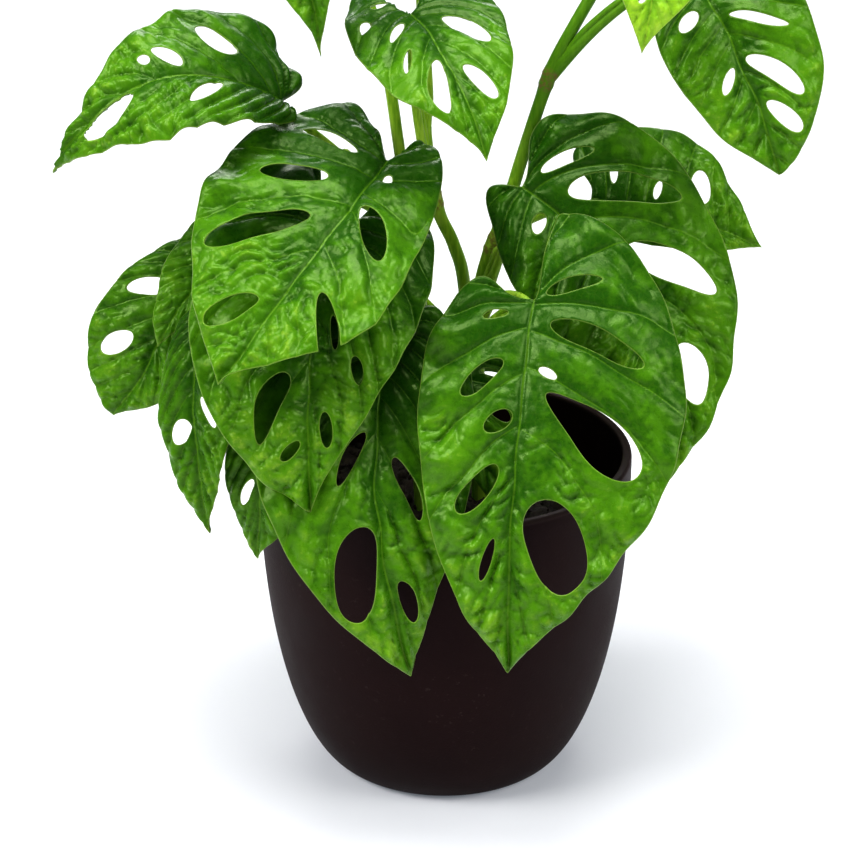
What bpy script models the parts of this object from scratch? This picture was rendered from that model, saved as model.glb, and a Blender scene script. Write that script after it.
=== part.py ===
"""Monstera adansonii, the swiss cheese vine, growing in a round dark pot.

The pot is a turned shell with a flat foot and is filled with a plug of soil. Vines stand in plain
round holes in the soil and carry long petioles. Each leaf blade is a thin solid of its own that
hangs from its petiole's end: a heart with a drawn-out tip, cut by the long oval holes between its
side veins. Lengths are in millimetres here and turned into metres when a mesh is made. The pot's
foot stands on z = 0 with its middle at the origin, and the front of the plant looks along -Y.
"""

import math
from collections import namedtuple

import bmesh
import bpy
import numpy as np
from mathutils.geometry import delaunay_2d_cdt

MM = 0.001
GAP = 0.3

# Pot
POT_RADIUS = 70.0
POT_HEIGHT = 125.5
POT_FOOT_RADIUS = 40.5
POT_BELLY = 2.27
POT_ROUND = 1.71
POT_WALL = 3.6
POT_FLOOR = 6.0
POT_SEGMENTS = 40
POT_RINGS = 9
POT_INNER_RINGS = 5
LIP_DROP = 1.2
LIP_OUTSIDE = 0.8
LIP_INSIDE = 0.6
OUTER_SPREAD = 1.7
INNER_SPREAD = 1.5

# Soil
SOIL_LEVEL = 102.0
SOIL_MOUND = 3.0
SOIL_LUMP = 0.9
SOIL_SEGMENTS = 26
SOIL_RINGS = (0.8, 0.55, 0.28)
LUMP_WAVE_X = 0.31
LUMP_WAVE_Y = 0.27
HOLE_DEPTH = 14.0
HOLE_SIDES = 12

# Leaf blades
BLADE_THICKNESS = 0.8
RIB_HEIGHT = 1.1
RIB_END_HEIGHT = 0.25
RIB_HALF_WIDTH = 2.2
CURL_REFERENCE = 0.35
EDGE_SPACING = 8.2
HOLE_SPACING = 5.6
FEWEST_EDGE_POINTS = 11
FEWEST_HOLE_POINTS = 8
LOBE_SPREAD = 1.3
TIP_PINCH = 0.45
TIP_POWER = 14
VEIN_CROWDING = 1.9
VEIN_BEND_OUT = 0.55
VEIN_BEND_AHEAD = 0.36
OUTLINE_FINENESS = 1.25
RIB_STEPS = 10
INNER_ROWS = ((0.4, 7), (0.75, 9))
FIRST_VEIN = 0.14
LAST_VEIN = 0.9
POINT_CLEARANCE = 1.8
RIB_CLEARANCE = 0.7

# Stems
VINE_SIDES = 8
PETIOLE_SIDES = 6
PETIOLE_RINGS = 9
PETIOLE_END_RADIUS = 1.5
PETIOLE_BASE_RADIUS = 2.1
NODE_SWELL = 0.16
STEM_CLEARANCE = 0.45
VINE_SPACING = 13.0
VINE_TAPER = 0.28
JOINT_LENGTH = 7.0
SPEAR_SHARE = 0.07
SPEAR_START = 0.9
PETIOLE_SEAT = 2.4
PETIOLE_REACH = 0.38
PETIOLE_TAPER = 0.6
STEEPEST_ARRIVAL = 0.35

SHARP_ANGLE = math.radians(40)

LEAF_COLOR = (0.12, 0.32, 0.03, 1.0)
YOUNG_LEAF_COLOR = (0.35, 0.60, 0.06, 1.0)
STEM_COLOR = (0.30, 0.46, 0.09, 1.0)
POT_COLOR = (0.016, 0.009, 0.008, 1.0)
SOIL_COLOR = (0.022, 0.014, 0.009, 1.0)

# One half of a blade, as shares of the blade's length: its greatest width, how far along that lies,
# how far its lobe reaches back past the petiole, the taper to the tip (below 1 is blunt, above 1 is
# drawn out), how wide the notch at the petiole is, and how square the lobe is (below 1 is square).
Half = namedtuple("Half", "width widest lobe taper notch square")

# A hole lies along the side veins. Veins are numbered 0 at the notch to 1 at the tip by where they
# meet the edge: vein_in and vein_out are the hole's two ends, inner and outer their shares of the way
# from midrib to edge, width is in millimetres, and egg moves the fat end outwards.
Hole = namedtuple("Hole", "vein_in vein_out inner outer width egg", defaults=(0.0,))

# A leaf hangs from base to tip. face is the way its upper side looks. sag and sway bow the midrib
# upwards and sideways at mid length, and curl bends the two edges down. stem names the vine, start is
# the point on that vine where the petiole leaves it, elbow the point that it bends towards.
Leaf = namedtuple(
    "Leaf", "name base tip face sag sway curl left right left_holes right_holes stem start elbow")

LEAVES = (
    Leaf("leaf_front_right", (30, -53, 207), (21, -100, 84), (-0.05, -0.9, 0.4), 12, -1.2, 0.10,
         Half(0.26, 0.25, 0.05, 0.89, 0.18, 0.57), Half(0.42, 0.28, 0.24, 1.10, 0.04, 0.90),
         (Hole(0.27, 0.27, 0.20, 0.47, 3.4), Hole(0.43, 0.45, 0.19, 0.62, 7.0),
          Hole(0.56, 0.57, 0.09, 0.34, 6.6), Hole(0.65, 0.68, 0.22, 0.69, 8.2),
          Hole(0.77, 0.82, 0.27, 0.57, 4.2)),
         (Hole(0.24, 0.28, 0.12, 0.62, 5.2), Hole(0.40, 0.46, 0.13, 0.72, 8.6),
          Hole(0.515, 0.525, 0.07, 0.18, 3.6), Hole(0.56, 0.64, 0.13, 0.78, 15.5, 0.33),
          Hole(0.73, 0.85, 0.17, 0.72, 20.0, -0.08)),
         "vine_right", (13, 2, 174), (17, -36, 208)),
    Leaf("leaf_back_right", (28, -8, 232), (80, -46, 133), (0.1, -0.85, 0.45), 10, 15.4, 0.10,
         Half(0.26, 0.33, 0.10, 1.15, 0.16, 1.15), Half(0.35, 0.19, 0.11, 0.98, 0.34, 1.05),
         (Hole(0.33, 0.34, 0.12, 0.36, 5.0),),
         (Hole(0.24, 0.31, 0.18, 0.60, 4.6), Hole(0.37, 0.47, 0.15, 0.83, 11.0),
          Hole(0.57, 0.64, 0.16, 0.82, 12.0, -0.19), Hole(0.76, 0.85, 0.32, 0.66, 12.0)),
         "vine_right", (13, 2, 182), (22, -6, 208)),
    Leaf("leaf_front_middle", (-20, -41, 188), (-11, -88, 75), (0.15, -0.9, 0.4), 14, -10.5, 0.12,
         Half(0.37, 0.08, 0.14, 1.02, 0.20, 0.95), Half(0.28, 0.26, 0.14, 1.15, 0.20, 0.95),
         (Hole(0.57, 0.65, 0.10, 0.39, 5.4), Hole(0.74, 0.86, 0.17, 0.77, 16.0)),
         (Hole(0.59, 0.69, 0.18, 0.52, 5.6), Hole(0.83, 0.89, 0.23, 0.60, 6.4)),
         "vine_low", (-8, -9, 150), (-19, -14, 196)),
    Leaf("leaf_upper_left", (-20, -22, 248), (-77, -92, 190), (-0.25, -0.85, 0.45), 10, 3.0, 0.10,
         Half(0.46, 0.30, 0.36, 0.85, 0.45, 1.30), Half(0.29, 0.58, 0.15, 1.78, 0.10, 0.96),
         (Hole(0.30, 0.32, 0.22, 0.73, 6.6), Hole(0.45, 0.50, 0.24, 0.67, 8.4),
          Hole(0.575, 0.71, 0.17, 0.85, 10.5), Hole(0.79, 0.88, 0.18, 0.86, 8.0)),
         (Hole(0.38, 0.34, 0.12, 0.24, 3.8), Hole(0.50, 0.57, 0.12, 0.63, 8.4),
          Hole(0.72, 0.77, 0.36, 1.30, 8.0)),
         "vine_left", (-13, 11, 214), (-13, 2, 244)),
    Leaf("leaf_lower_left", (-41, -30, 223), (-47, -84, 139), (0.0, -0.85, 0.5), 12, -3.1, 0.10,
         Half(0.42, 0.30, 0.38, 0.80, 0.20, 0.95), Half(0.37, 0.10, 0.26, 1.22, 0.20, 0.65),
         (Hole(0.715, 0.835, 0.19, 0.65, 8.4, -0.3), Hole(0.845, 0.875, 0.11, 0.42, 4.4)),
         (Hole(0.61, 0.69, 0.17, 0.30, 3.2), Hole(0.68, 0.73, 0.52, 0.70, 4.2),
          Hole(0.82, 0.88, 0.32, 0.60, 4.8)),
         "vine_low", (-9, -8, 160), (-30, -10, 222)),
    Leaf("leaf_far_left", (-57, -4, 263), (-139, -24, 243), (-0.35, -0.6, 0.8), 26, -4.2, 0.12,
         Half(0.345, 0.08, 0.06, 1.65, 0.20, 1.20), Half(0.24, 0.50, 0.06, 1.20, 0.20, 1.20),
         (Hole(0.44, 0.50, 0.33, 0.68, 11.0), Hole(0.65, 0.66, 0.14, 0.58, 6.0),
          Hole(0.70, 0.71, 0.38, 0.57, 4.6)),
         (Hole(0.47, 0.54, 0.14, 0.50, 5.8), Hole(0.74, 0.88, 0.15, 0.56, 9.4)),
         "vine_left", (-12, 12, 205), (-40, 14, 246)),
    Leaf("leaf_top_middle", (-12, -8, 297), (14, -56, 259), (0.1, -0.6, 0.8), 8, 0.4, 0.12,
         Half(0.39, 0.28, 0.36, 1.38, 0.13, 0.85), Half(0.42, 0.06, 0.20, 0.98, 0.20, 0.80),
         (Hole(0.20, 0.30, 0.45, 0.60, 5.0), Hole(0.39, 0.45, 0.66, 0.82, 3.8),
          Hole(0.45, 0.54, 0.24, 0.52, 3.2), Hole(0.60, 0.67, 0.36, 0.66, 2.8),
          Hole(0.68, 0.85, 0.12, 0.72, 7.6)),
         (Hole(0.47, 0.61, 0.21, 0.70, 6.8), Hole(0.72, 0.82, 0.19, 0.74, 6.0)),
         "vine_middle", (-4, 8, 222), (-13, 0, 262)),
    Leaf("leaf_top_right", (85, -12, 312), (115, -40, 248), (-0.1, -0.8, 0.6), 8, 2.1, 0.10,
         Half(0.30, 0.30, 0.06, 0.88, 0.20, 1.20), Half(0.37, 0.36, 0.14, 0.70, 0.20, 0.95),
         (Hole(0.42, 0.42, 0.21, 0.57, 5.6), Hole(0.67, 0.69, 0.13, 0.55, 4.2)),
         (Hole(0.38, 0.40, 0.12, 0.50, 3.2), Hole(0.51, 0.55, 0.10, 0.70, 3.8),
          Hole(0.65, 0.74, 0.10, 0.74, 7.2), Hole(0.78, 0.85, 0.12, 0.80, 6.8)),
         "vine_right", (37, 9, 267), (66, 2, 306)),
    Leaf("leaf_side_right", (53, 16, 219), (117, 8, 203), (0.1, -0.8, 0.6), 6, 0.0, 0.10,
         Half(0.19, 0.30, 0.10, 1.00, 0.20, 0.95), Half(0.49, 0.36, 0.19, 1.35, 0.20, 0.65),
         (Hole(0.44, 0.50, 0.24, 0.64, 3.0), Hole(0.64, 0.70, 0.24, 0.62, 2.6)),
         (Hole(0.40, 0.36, 0.20, 0.50, 3.2), Hole(0.60, 0.58, 0.10, 0.34, 3.2),
          Hole(0.75, 0.67, 0.36, 0.70, 7.4)),
         "vine_right", (17, 4, 206), (34, 20, 214)),
    Leaf("leaf_left", (-89, 2, 202), (-122, -16, 145), (-0.15, -0.9, 0.4), 8, 3.7, 0.10,
         Half(0.38, 0.50, 0.12, 0.60, 0.18, 1.30), Half(0.30, 0.26, 0.14, 1.05, 0.20, 0.95),
         (Hole(0.42, 0.46, 0.16, 0.75, 7.2), Hole(0.64, 0.73, 0.36, 0.72, 8.0)),
         (Hole(0.40, 0.46, 0.22, 0.62, 4.5), Hole(0.62, 0.68, 0.22, 0.62, 4.0)),
         "vine_left", (-9, 16, 168), (-60, 18, 206)),
    Leaf("leaf_small_left", (-75, -5, 211), (-104, -28, 178), (-0.2, -0.85, 0.5), 6, 0.0, 0.10,
         Half(0.33, 0.10, 0.15, 0.90, 0.20, 0.95), Half(0.24, 0.20, 0.14, 1.30, 0.20, 0.95),
         (Hole(0.45, 0.50, 0.22, 0.62, 3.2),),
         (Hole(0.48, 0.54, 0.24, 0.62, 2.8),),
         "vine_left", (-10, 14, 186), (-46, -6, 220)),
    Leaf("leaf_hanging_left", (-89, -34, 192), (-85, -50, 115), (-0.5, -0.85, 0.3), 6, 0.0, 0.15,
         Half(0.18, 0.45, 0.06, 1.15, 0.20, 1.30), Half(0.19, 0.45, 0.12, 1.50, 0.20, 0.95),
         (Hole(0.64, 0.68, 0.16, 0.56, 6.6),),
         (Hole(0.56, 0.62, 0.26, 0.66, 4.6),),
         "vine_low", (-10, -7, 140), (-62, -18, 204)),
    Leaf("leaf_rim_left", (-61, -42, 165), (-68, -48, 103), (-0.3, -0.9, 0.3), 5, 0.0, 0.10,
         Half(0.24, 0.20, 0.14, 0.85, 0.20, 0.95), Half(0.40, 0.30, 0.14, 1.40, 0.20, 0.95),
         (Hole(0.69, 0.77, 0.24, 0.58, 3.6),),
         (Hole(0.52, 0.58, 0.24, 0.62, 4.6), Hole(0.72, 0.78, 0.26, 0.60, 3.8)),
         "vine_low", (-10, -6, 128), (-42, -26, 174)),
    Leaf("leaf_young_top", (74, -34, 338), (66, -48, 294), (0.0, -0.85, 0.4), 5, 0.0, 0.12,
         Half(0.29, 0.24, 0.14, 1.10, 0.20, 0.95), Half(0.36, 0.25, 0.14, 1.45, 0.20, 0.95),
         (Hole(0.50, 0.54, 0.24, 0.62, 2.6), Hole(0.74, 0.78, 0.22, 0.50, 3.0)),
         (Hole(0.52, 0.57, 0.24, 0.62, 2.8),),
         "vine_right", (62, 11, 317), (76, -8, 352)),
    Leaf("leaf_top_left", (-52, -14, 359), (-43, -34, 288), (-0.2, -0.85, 0.45), 6, 0.0, 0.12,
         Half(0.30, 0.24, 0.14, 1.75, 0.20, 0.95), Half(0.30, 0.22, 0.14, 1.75, 0.20, 0.95),
         (Hole(0.36, 0.40, 0.22, 0.64, 4.4), Hole(0.52, 0.57, 0.22, 0.60, 4.0)),
         (Hole(0.36, 0.40, 0.22, 0.64, 4.4), Hole(0.52, 0.57, 0.22, 0.60, 4.0)),
         "vine_left", (-36, 14, 317), (-50, 8, 361)),
    Leaf("leaf_crown_right", (94, 26, 360), (136, 66, 326), (0.5, 0.3, 0.8), 10, 2.0, 0.10,
         Half(0.36, 0.26, 0.14, 1.05, 0.18, 0.95), Half(0.36, 0.26, 0.14, 1.05, 0.18, 0.95),
         (Hole(0.38, 0.42, 0.20, 0.68, 5.0), Hole(0.56, 0.62, 0.20, 0.66, 5.0),
          Hole(0.73, 0.78, 0.24, 0.60, 4.0)),
         (Hole(0.38, 0.42, 0.20, 0.68, 5.0), Hole(0.56, 0.62, 0.20, 0.66, 5.0),
          Hole(0.73, 0.78, 0.24, 0.60, 4.0)),
         "vine_right", (70, 12, 332), (84, 20, 354)),
    Leaf("leaf_crown_back", (-6, 38, 346), (-14, 100, 308), (0.0, 0.5, 0.85), 10, -2.0, 0.10,
         Half(0.37, 0.25, 0.16, 1.05, 0.18, 0.95), Half(0.37, 0.25, 0.16, 1.05, 0.18, 0.95),
         (Hole(0.38, 0.42, 0.20, 0.68, 6.0), Hole(0.56, 0.62, 0.20, 0.66, 6.0),
          Hole(0.73, 0.78, 0.24, 0.60, 4.6)),
         (Hole(0.38, 0.42, 0.20, 0.68, 6.0), Hole(0.56, 0.62, 0.20, 0.66, 6.0),
          Hole(0.73, 0.78, 0.24, 0.60, 4.6)),
         "vine_middle", (-9, 16, 305), (-7, 24, 348)),
    Leaf("leaf_back_left", (-40, 34, 216), (-80, 88, 152), (-0.35, 0.75, 0.55), 12, 2.0, 0.10,
         Half(0.37, 0.25, 0.16, 1.05, 0.18, 0.95), Half(0.37, 0.25, 0.16, 1.05, 0.18, 0.95),
         (Hole(0.30, 0.32, 0.24, 0.62, 4.6), Hole(0.44, 0.49, 0.18, 0.72, 7.4),
          Hole(0.60, 0.67, 0.18, 0.70, 7.6), Hole(0.76, 0.82, 0.22, 0.60, 5.0)),
         (Hole(0.30, 0.32, 0.24, 0.62, 4.6), Hole(0.44, 0.49, 0.18, 0.72, 7.4),
          Hole(0.60, 0.67, 0.18, 0.70, 7.6), Hole(0.76, 0.82, 0.22, 0.60, 5.0)),
         "vine_left", (-10, 14, 190), (-26, 20, 224)),
    Leaf("leaf_back_low", (-38, 48, 180), (-54, 94, 100), (-0.2, 0.9, 0.4), 12, -2.0, 0.10,
         Half(0.36, 0.25, 0.15, 1.05, 0.18, 0.95), Half(0.36, 0.25, 0.15, 1.05, 0.18, 0.95),
         (Hole(0.36, 0.40, 0.20, 0.66, 6.4), Hole(0.54, 0.60, 0.18, 0.70, 7.4),
          Hole(0.72, 0.78, 0.22, 0.62, 5.6)),
         (Hole(0.36, 0.40, 0.20, 0.66, 6.4), Hole(0.54, 0.60, 0.18, 0.70, 7.4),
          Hole(0.72, 0.78, 0.22, 0.62, 5.6)),
         "vine_back", (8, 33, 146), (-14, 40, 186)),
    Leaf("leaf_back_side", (66, 46, 156), (88, 86, 92), (0.35, 0.85, 0.4), 9, 2.0, 0.10,
         Half(0.24, 0.25, 0.12, 1.05, 0.18, 0.95), Half(0.32, 0.25, 0.12, 1.05, 0.18, 0.95),
         (Hole(0.36, 0.40, 0.22, 0.66, 4.2), Hole(0.54, 0.60, 0.20, 0.70, 4.6),
          Hole(0.72, 0.78, 0.24, 0.62, 3.4)),
         (Hole(0.36, 0.40, 0.20, 0.66, 5.0), Hole(0.54, 0.60, 0.18, 0.70, 5.6),
          Hole(0.72, 0.78, 0.22, 0.62, 4.2)),
         "vine_back", (10, 33, 156), (42, 40, 184)),
    Leaf("leaf_back_rim", (8, 82, 124), (6, 100, 38), (0.05, 0.95, 0.3), 6, 2.0, 0.10,
         Half(0.37, 0.25, 0.15, 1.05, 0.18, 0.95), Half(0.37, 0.25, 0.15, 1.05, 0.18, 0.95),
         (Hole(0.30, 0.32, 0.24, 0.60, 4.2), Hole(0.44, 0.49, 0.18, 0.72, 6.6),
          Hole(0.60, 0.67, 0.18, 0.70, 7.2), Hole(0.76, 0.82, 0.22, 0.60, 4.6)),
         (Hole(0.30, 0.32, 0.24, 0.60, 4.2), Hole(0.44, 0.49, 0.18, 0.72, 6.6),
          Hole(0.60, 0.67, 0.18, 0.70, 7.2), Hole(0.76, 0.82, 0.22, 0.60, 4.6)),
         "vine_back", (7, 33, 136), (8, 60, 158)),
    Leaf("leaf_inner", (6, -14, 170), (15, -44, 126), (0.1, -0.85, 0.5), 5, 0.0, 0.10,
         Half(0.26, 0.25, 0.12, 1.05, 0.18, 0.95), Half(0.40, 0.30, 0.14, 1.20, 0.18, 0.95),
         (Hole(0.50, 0.55, 0.24, 0.62, 2.8),),
         (Hole(0.42, 0.46, 0.22, 0.62, 3.4), Hole(0.60, 0.66, 0.22, 0.66, 5.0)),
         "vine_right", (12, 3, 150), (8, -6, 172)),
)

# A vine's centre line from its end in the soil to its growing point, and its radius at both ends. Its
# last stretch, the spear, is a new leaf that is still rolled up.
Vine = namedtuple("Vine", "name route root_radius end_radius")

VINES = (
    Vine("vine_right", ((13, 3, 88), (13, 3, 106), (12, 3, 150), (13, 3, 189), (19.5, 4.5, 211),
                        (24, 6, 225), (28.5, 8, 240), (34, 9, 258), (39, 9, 273), (46, 9, 287),
                        (57, 10, 307), (70, 12, 332), (80, 16, 360), (84, 20, 382)), 2.8, 0.5),
    Vine("vine_middle", ((3, 15, 88), (3, 15, 106), (9, 14, 150), (7, 10, 188), (3, 9, 204), (-3, 8, 219),
                         (-7, 7, 246), (-6.5, 9, 261), (-8, 14, 285), (-9, 16, 305), (-10, 18, 330),
                         (-13, 20, 352)), 2.7, 0.5),
    Vine("vine_left", ((-11, 18, 88), (-11, 18, 106), (-8, 18, 150), (-10, 14, 190), (-14, 10, 220),
                       (-17, 9, 243), (-21, 11, 270), (-27, 15, 292), (-36, 14, 317), (-46, 12, 340),
                       (-54, 12, 362), (-58, 14, 375)), 2.5, 0.5),
    Vine("vine_low", ((-9, -9, 88), (-9, -9, 106), (-10, -6, 128), (-9, -8, 150), (-7, -9, 168),
                      (-7, -10, 184)), 2.5, 0.6),
    Vine("vine_back", ((6, 34, 88), (6, 34, 106), (7, 33, 132), (9, 33, 154), (12, 33, 172)), 2.3, 0.6),
)


def unit(v):
    v = np.asarray(v, float)
    return v / np.linalg.norm(v, axis=-1, keepdims=True)


def smooth_path(points, count):
    """Points evenly spaced along a smooth curve through the given ones."""
    p = np.asarray(points, float)
    ends = np.vstack([2 * p[0] - p[1], p, 2 * p[-1] - p[-2]])
    fine = []
    for a, b, c, d in zip(ends, ends[1:], ends[2:], ends[3:]):
        t = np.linspace(0, 1, 16, endpoint=False)[:, None]
        bend = (c - a) * t + (2 * a - 5 * b + 4 * c - d) * t**2 + (3 * b - a - 3 * c + d) * t**3
        fine.append(b + 0.5 * bend)
    fine = np.vstack(fine + [p[-1:]])
    along = np.append(0, np.cumsum(np.linalg.norm(np.diff(fine, axis=0), axis=1)))
    even = np.linspace(0, along[-1], count)
    return np.column_stack([np.interp(even, along, fine[:, k]) for k in range(3)])


def material(name, color, roughness):
    made = bpy.data.materials.new(name)
    made.use_nodes = True
    shader = made.node_tree.nodes["Principled BSDF"]
    shader.inputs["Base Color"].default_value = color
    shader.inputs["Roughness"].default_value = roughness
    made.diffuse_color = color
    return made


def add_object(name, points, faces, finish):
    """A mesh object from points in millimetres."""
    mesh = bpy.data.meshes.new(name)
    mesh.from_pydata((np.asarray(points) * MM).tolist(), [], [list(map(int, f)) for f in faces])
    mesh.materials.append(finish)
    mesh.shade_smooth()
    mesh.set_sharp_from_angle(angle=SHARP_ANGLE)
    made = bpy.data.objects.new(name, mesh)
    bpy.context.scene.collection.objects.link(made)
    return made


def pot_radius(z):
    """The pot's outer radius at height z: upright at the rim, rounding in to a flat foot."""
    t = np.clip(np.asarray(z, float) / POT_HEIGHT, 0, 1)
    return POT_FOOT_RADIUS + (POT_RADIUS - POT_FOOT_RADIUS) * (1 - (1 - t) ** POT_BELLY) ** (1 / POT_ROUND)


def turned(name, profile, segments, finish):
    """A closed profile of (radius, height) points, spun round Z from the axis and back to it."""
    bm = bmesh.new()
    verts = [bm.verts.new((r * MM, 0.0, z * MM)) for r, z in profile]
    edges = [bm.edges.new(pair) for pair in zip(verts, verts[1:])]
    around = {"cent": (0, 0, 0), "axis": (0, 0, 1), "angle": 2 * math.pi}
    bmesh.ops.spin(bm, geom=verts + edges, steps=segments, **around)
    bmesh.ops.remove_doubles(bm, verts=bm.verts, dist=1e-6)
    bmesh.ops.recalc_face_normals(bm, faces=bm.faces)
    mesh = bpy.data.meshes.new(name)
    bm.to_mesh(mesh)
    bm.free()
    mesh.materials.append(finish)
    mesh.shade_smooth()
    mesh.set_sharp_from_angle(angle=SHARP_ANGLE)
    made = bpy.data.objects.new(name, mesh)
    bpy.context.scene.collection.objects.link(made)
    return made


def pot_wall():
    """The pot's inner profile, from the rim down to the floor, as (radius, height) points."""
    depth = POT_HEIGHT - LIP_DROP - POT_FLOOR
    fall = POT_FLOOR + np.linspace(1, 0, POT_INNER_RINGS) ** INNER_SPREAD * depth
    return [(float(pot_radius(z)) - POT_WALL, float(z)) for z in fall]


def make_pot(finish):
    rise = np.linspace(0, 1, POT_RINGS) ** OUTER_SPREAD * (POT_HEIGHT - LIP_DROP)
    outer = [(float(pot_radius(z)), float(z)) for z in rise]
    lip = [(POT_RADIUS - LIP_OUTSIDE, POT_HEIGHT), (POT_RADIUS - POT_WALL + LIP_INSIDE, POT_HEIGHT)]
    profile = [(0.0, 0.0)] + outer + lip + pot_wall() + [(0.0, POT_FLOOR)]
    return turned("pot", profile, POT_SEGMENTS, finish)


def soil_profile():
    radii, heights = zip(*pot_wall()[::-1])
    side = [POT_FLOOR + GAP] + [z for z in heights if POT_FLOOR < z < SOIL_LEVEL] + [SOIL_LEVEL]
    wall = [(float(np.interp(z, heights, radii)) - 2 * GAP, z) for z in side]
    edge = wall[-1][0]
    top = [(edge * share, SOIL_LEVEL + SOIL_MOUND * (1 - share**2)) for share in SOIL_RINGS]
    return [(0.0, POT_FLOOR + GAP)] + wall + top + [(0.0, SOIL_LEVEL + SOIL_MOUND)]


def make_soil(finish):
    """The soil plug, lumpy on top, with a plain round hole for each vine."""
    soil = turned("soil", soil_profile(), SOIL_SEGMENTS, finish)
    for v in soil.data.vertices:
        x, y, z = np.array(v.co) / MM
        if z > SOIL_LEVEL + 0.1:
            v.co.z += SOIL_LUMP * MM * math.sin(LUMP_WAVE_X * x + 1.1) * math.cos(LUMP_WAVE_Y * y - 0.4)
    for vine in VINES:
        x, y, z = vine.route[0]
        radius = (vine.root_radius + STEM_CLEARANCE) / math.cos(math.pi / HOLE_SIDES)
        middle = z - STEM_CLEARANCE + 1.5 * HOLE_DEPTH
        bpy.ops.mesh.primitive_cylinder_add(
            vertices=HOLE_SIDES, radius=radius * MM, depth=3 * HOLE_DEPTH * MM,
            location=(x * MM, y * MM, middle * MM))
        cutter = bpy.context.object
        cutter.name = "hole_for_" + vine.name
        cut(soil, cutter, "DIFFERENCE")
    return soil


def cut(target, other, operation):
    """Applies one Boolean and removes the object that it used."""
    modifier = target.modifiers.new("boolean", "BOOLEAN")
    modifier.operation = operation
    modifier.object = other
    modifier.solver = "EXACT"
    bpy.context.view_layer.objects.active = target
    with bpy.context.temp_override(object=target, active_object=target):
        bpy.ops.object.modifier_apply(modifier=modifier.name)
    bpy.data.objects.remove(other)


def tube(name, path, radii, sides, finish):
    """A closed tube along a path, with flat ends."""
    path = np.asarray(path, float)
    tangent = unit(np.gradient(path, axis=0))
    side = unit(np.cross(tangent[0], (0.3, 0.9, 0.1)))
    rings = []
    for p, t, r in zip(path, tangent, radii):
        side = unit(side - (side @ t) * t)
        up = np.cross(t, side)
        angle = np.arange(sides) * 2 * math.pi / sides
        rings.append(p + r * (np.cos(angle)[:, None] * side + np.sin(angle)[:, None] * up))
    points = np.vstack(rings)
    faces = [tuple(range(sides))[::-1], tuple(range(len(points) - sides, len(points)))]
    for k in range(len(path) - 1):
        for i in range(sides):
            j = (i + 1) % sides
            faces.append((k * sides + i, k * sides + j, (k + 1) * sides + j, (k + 1) * sides + i))
    return add_object(name, points, faces, finish)


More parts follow.
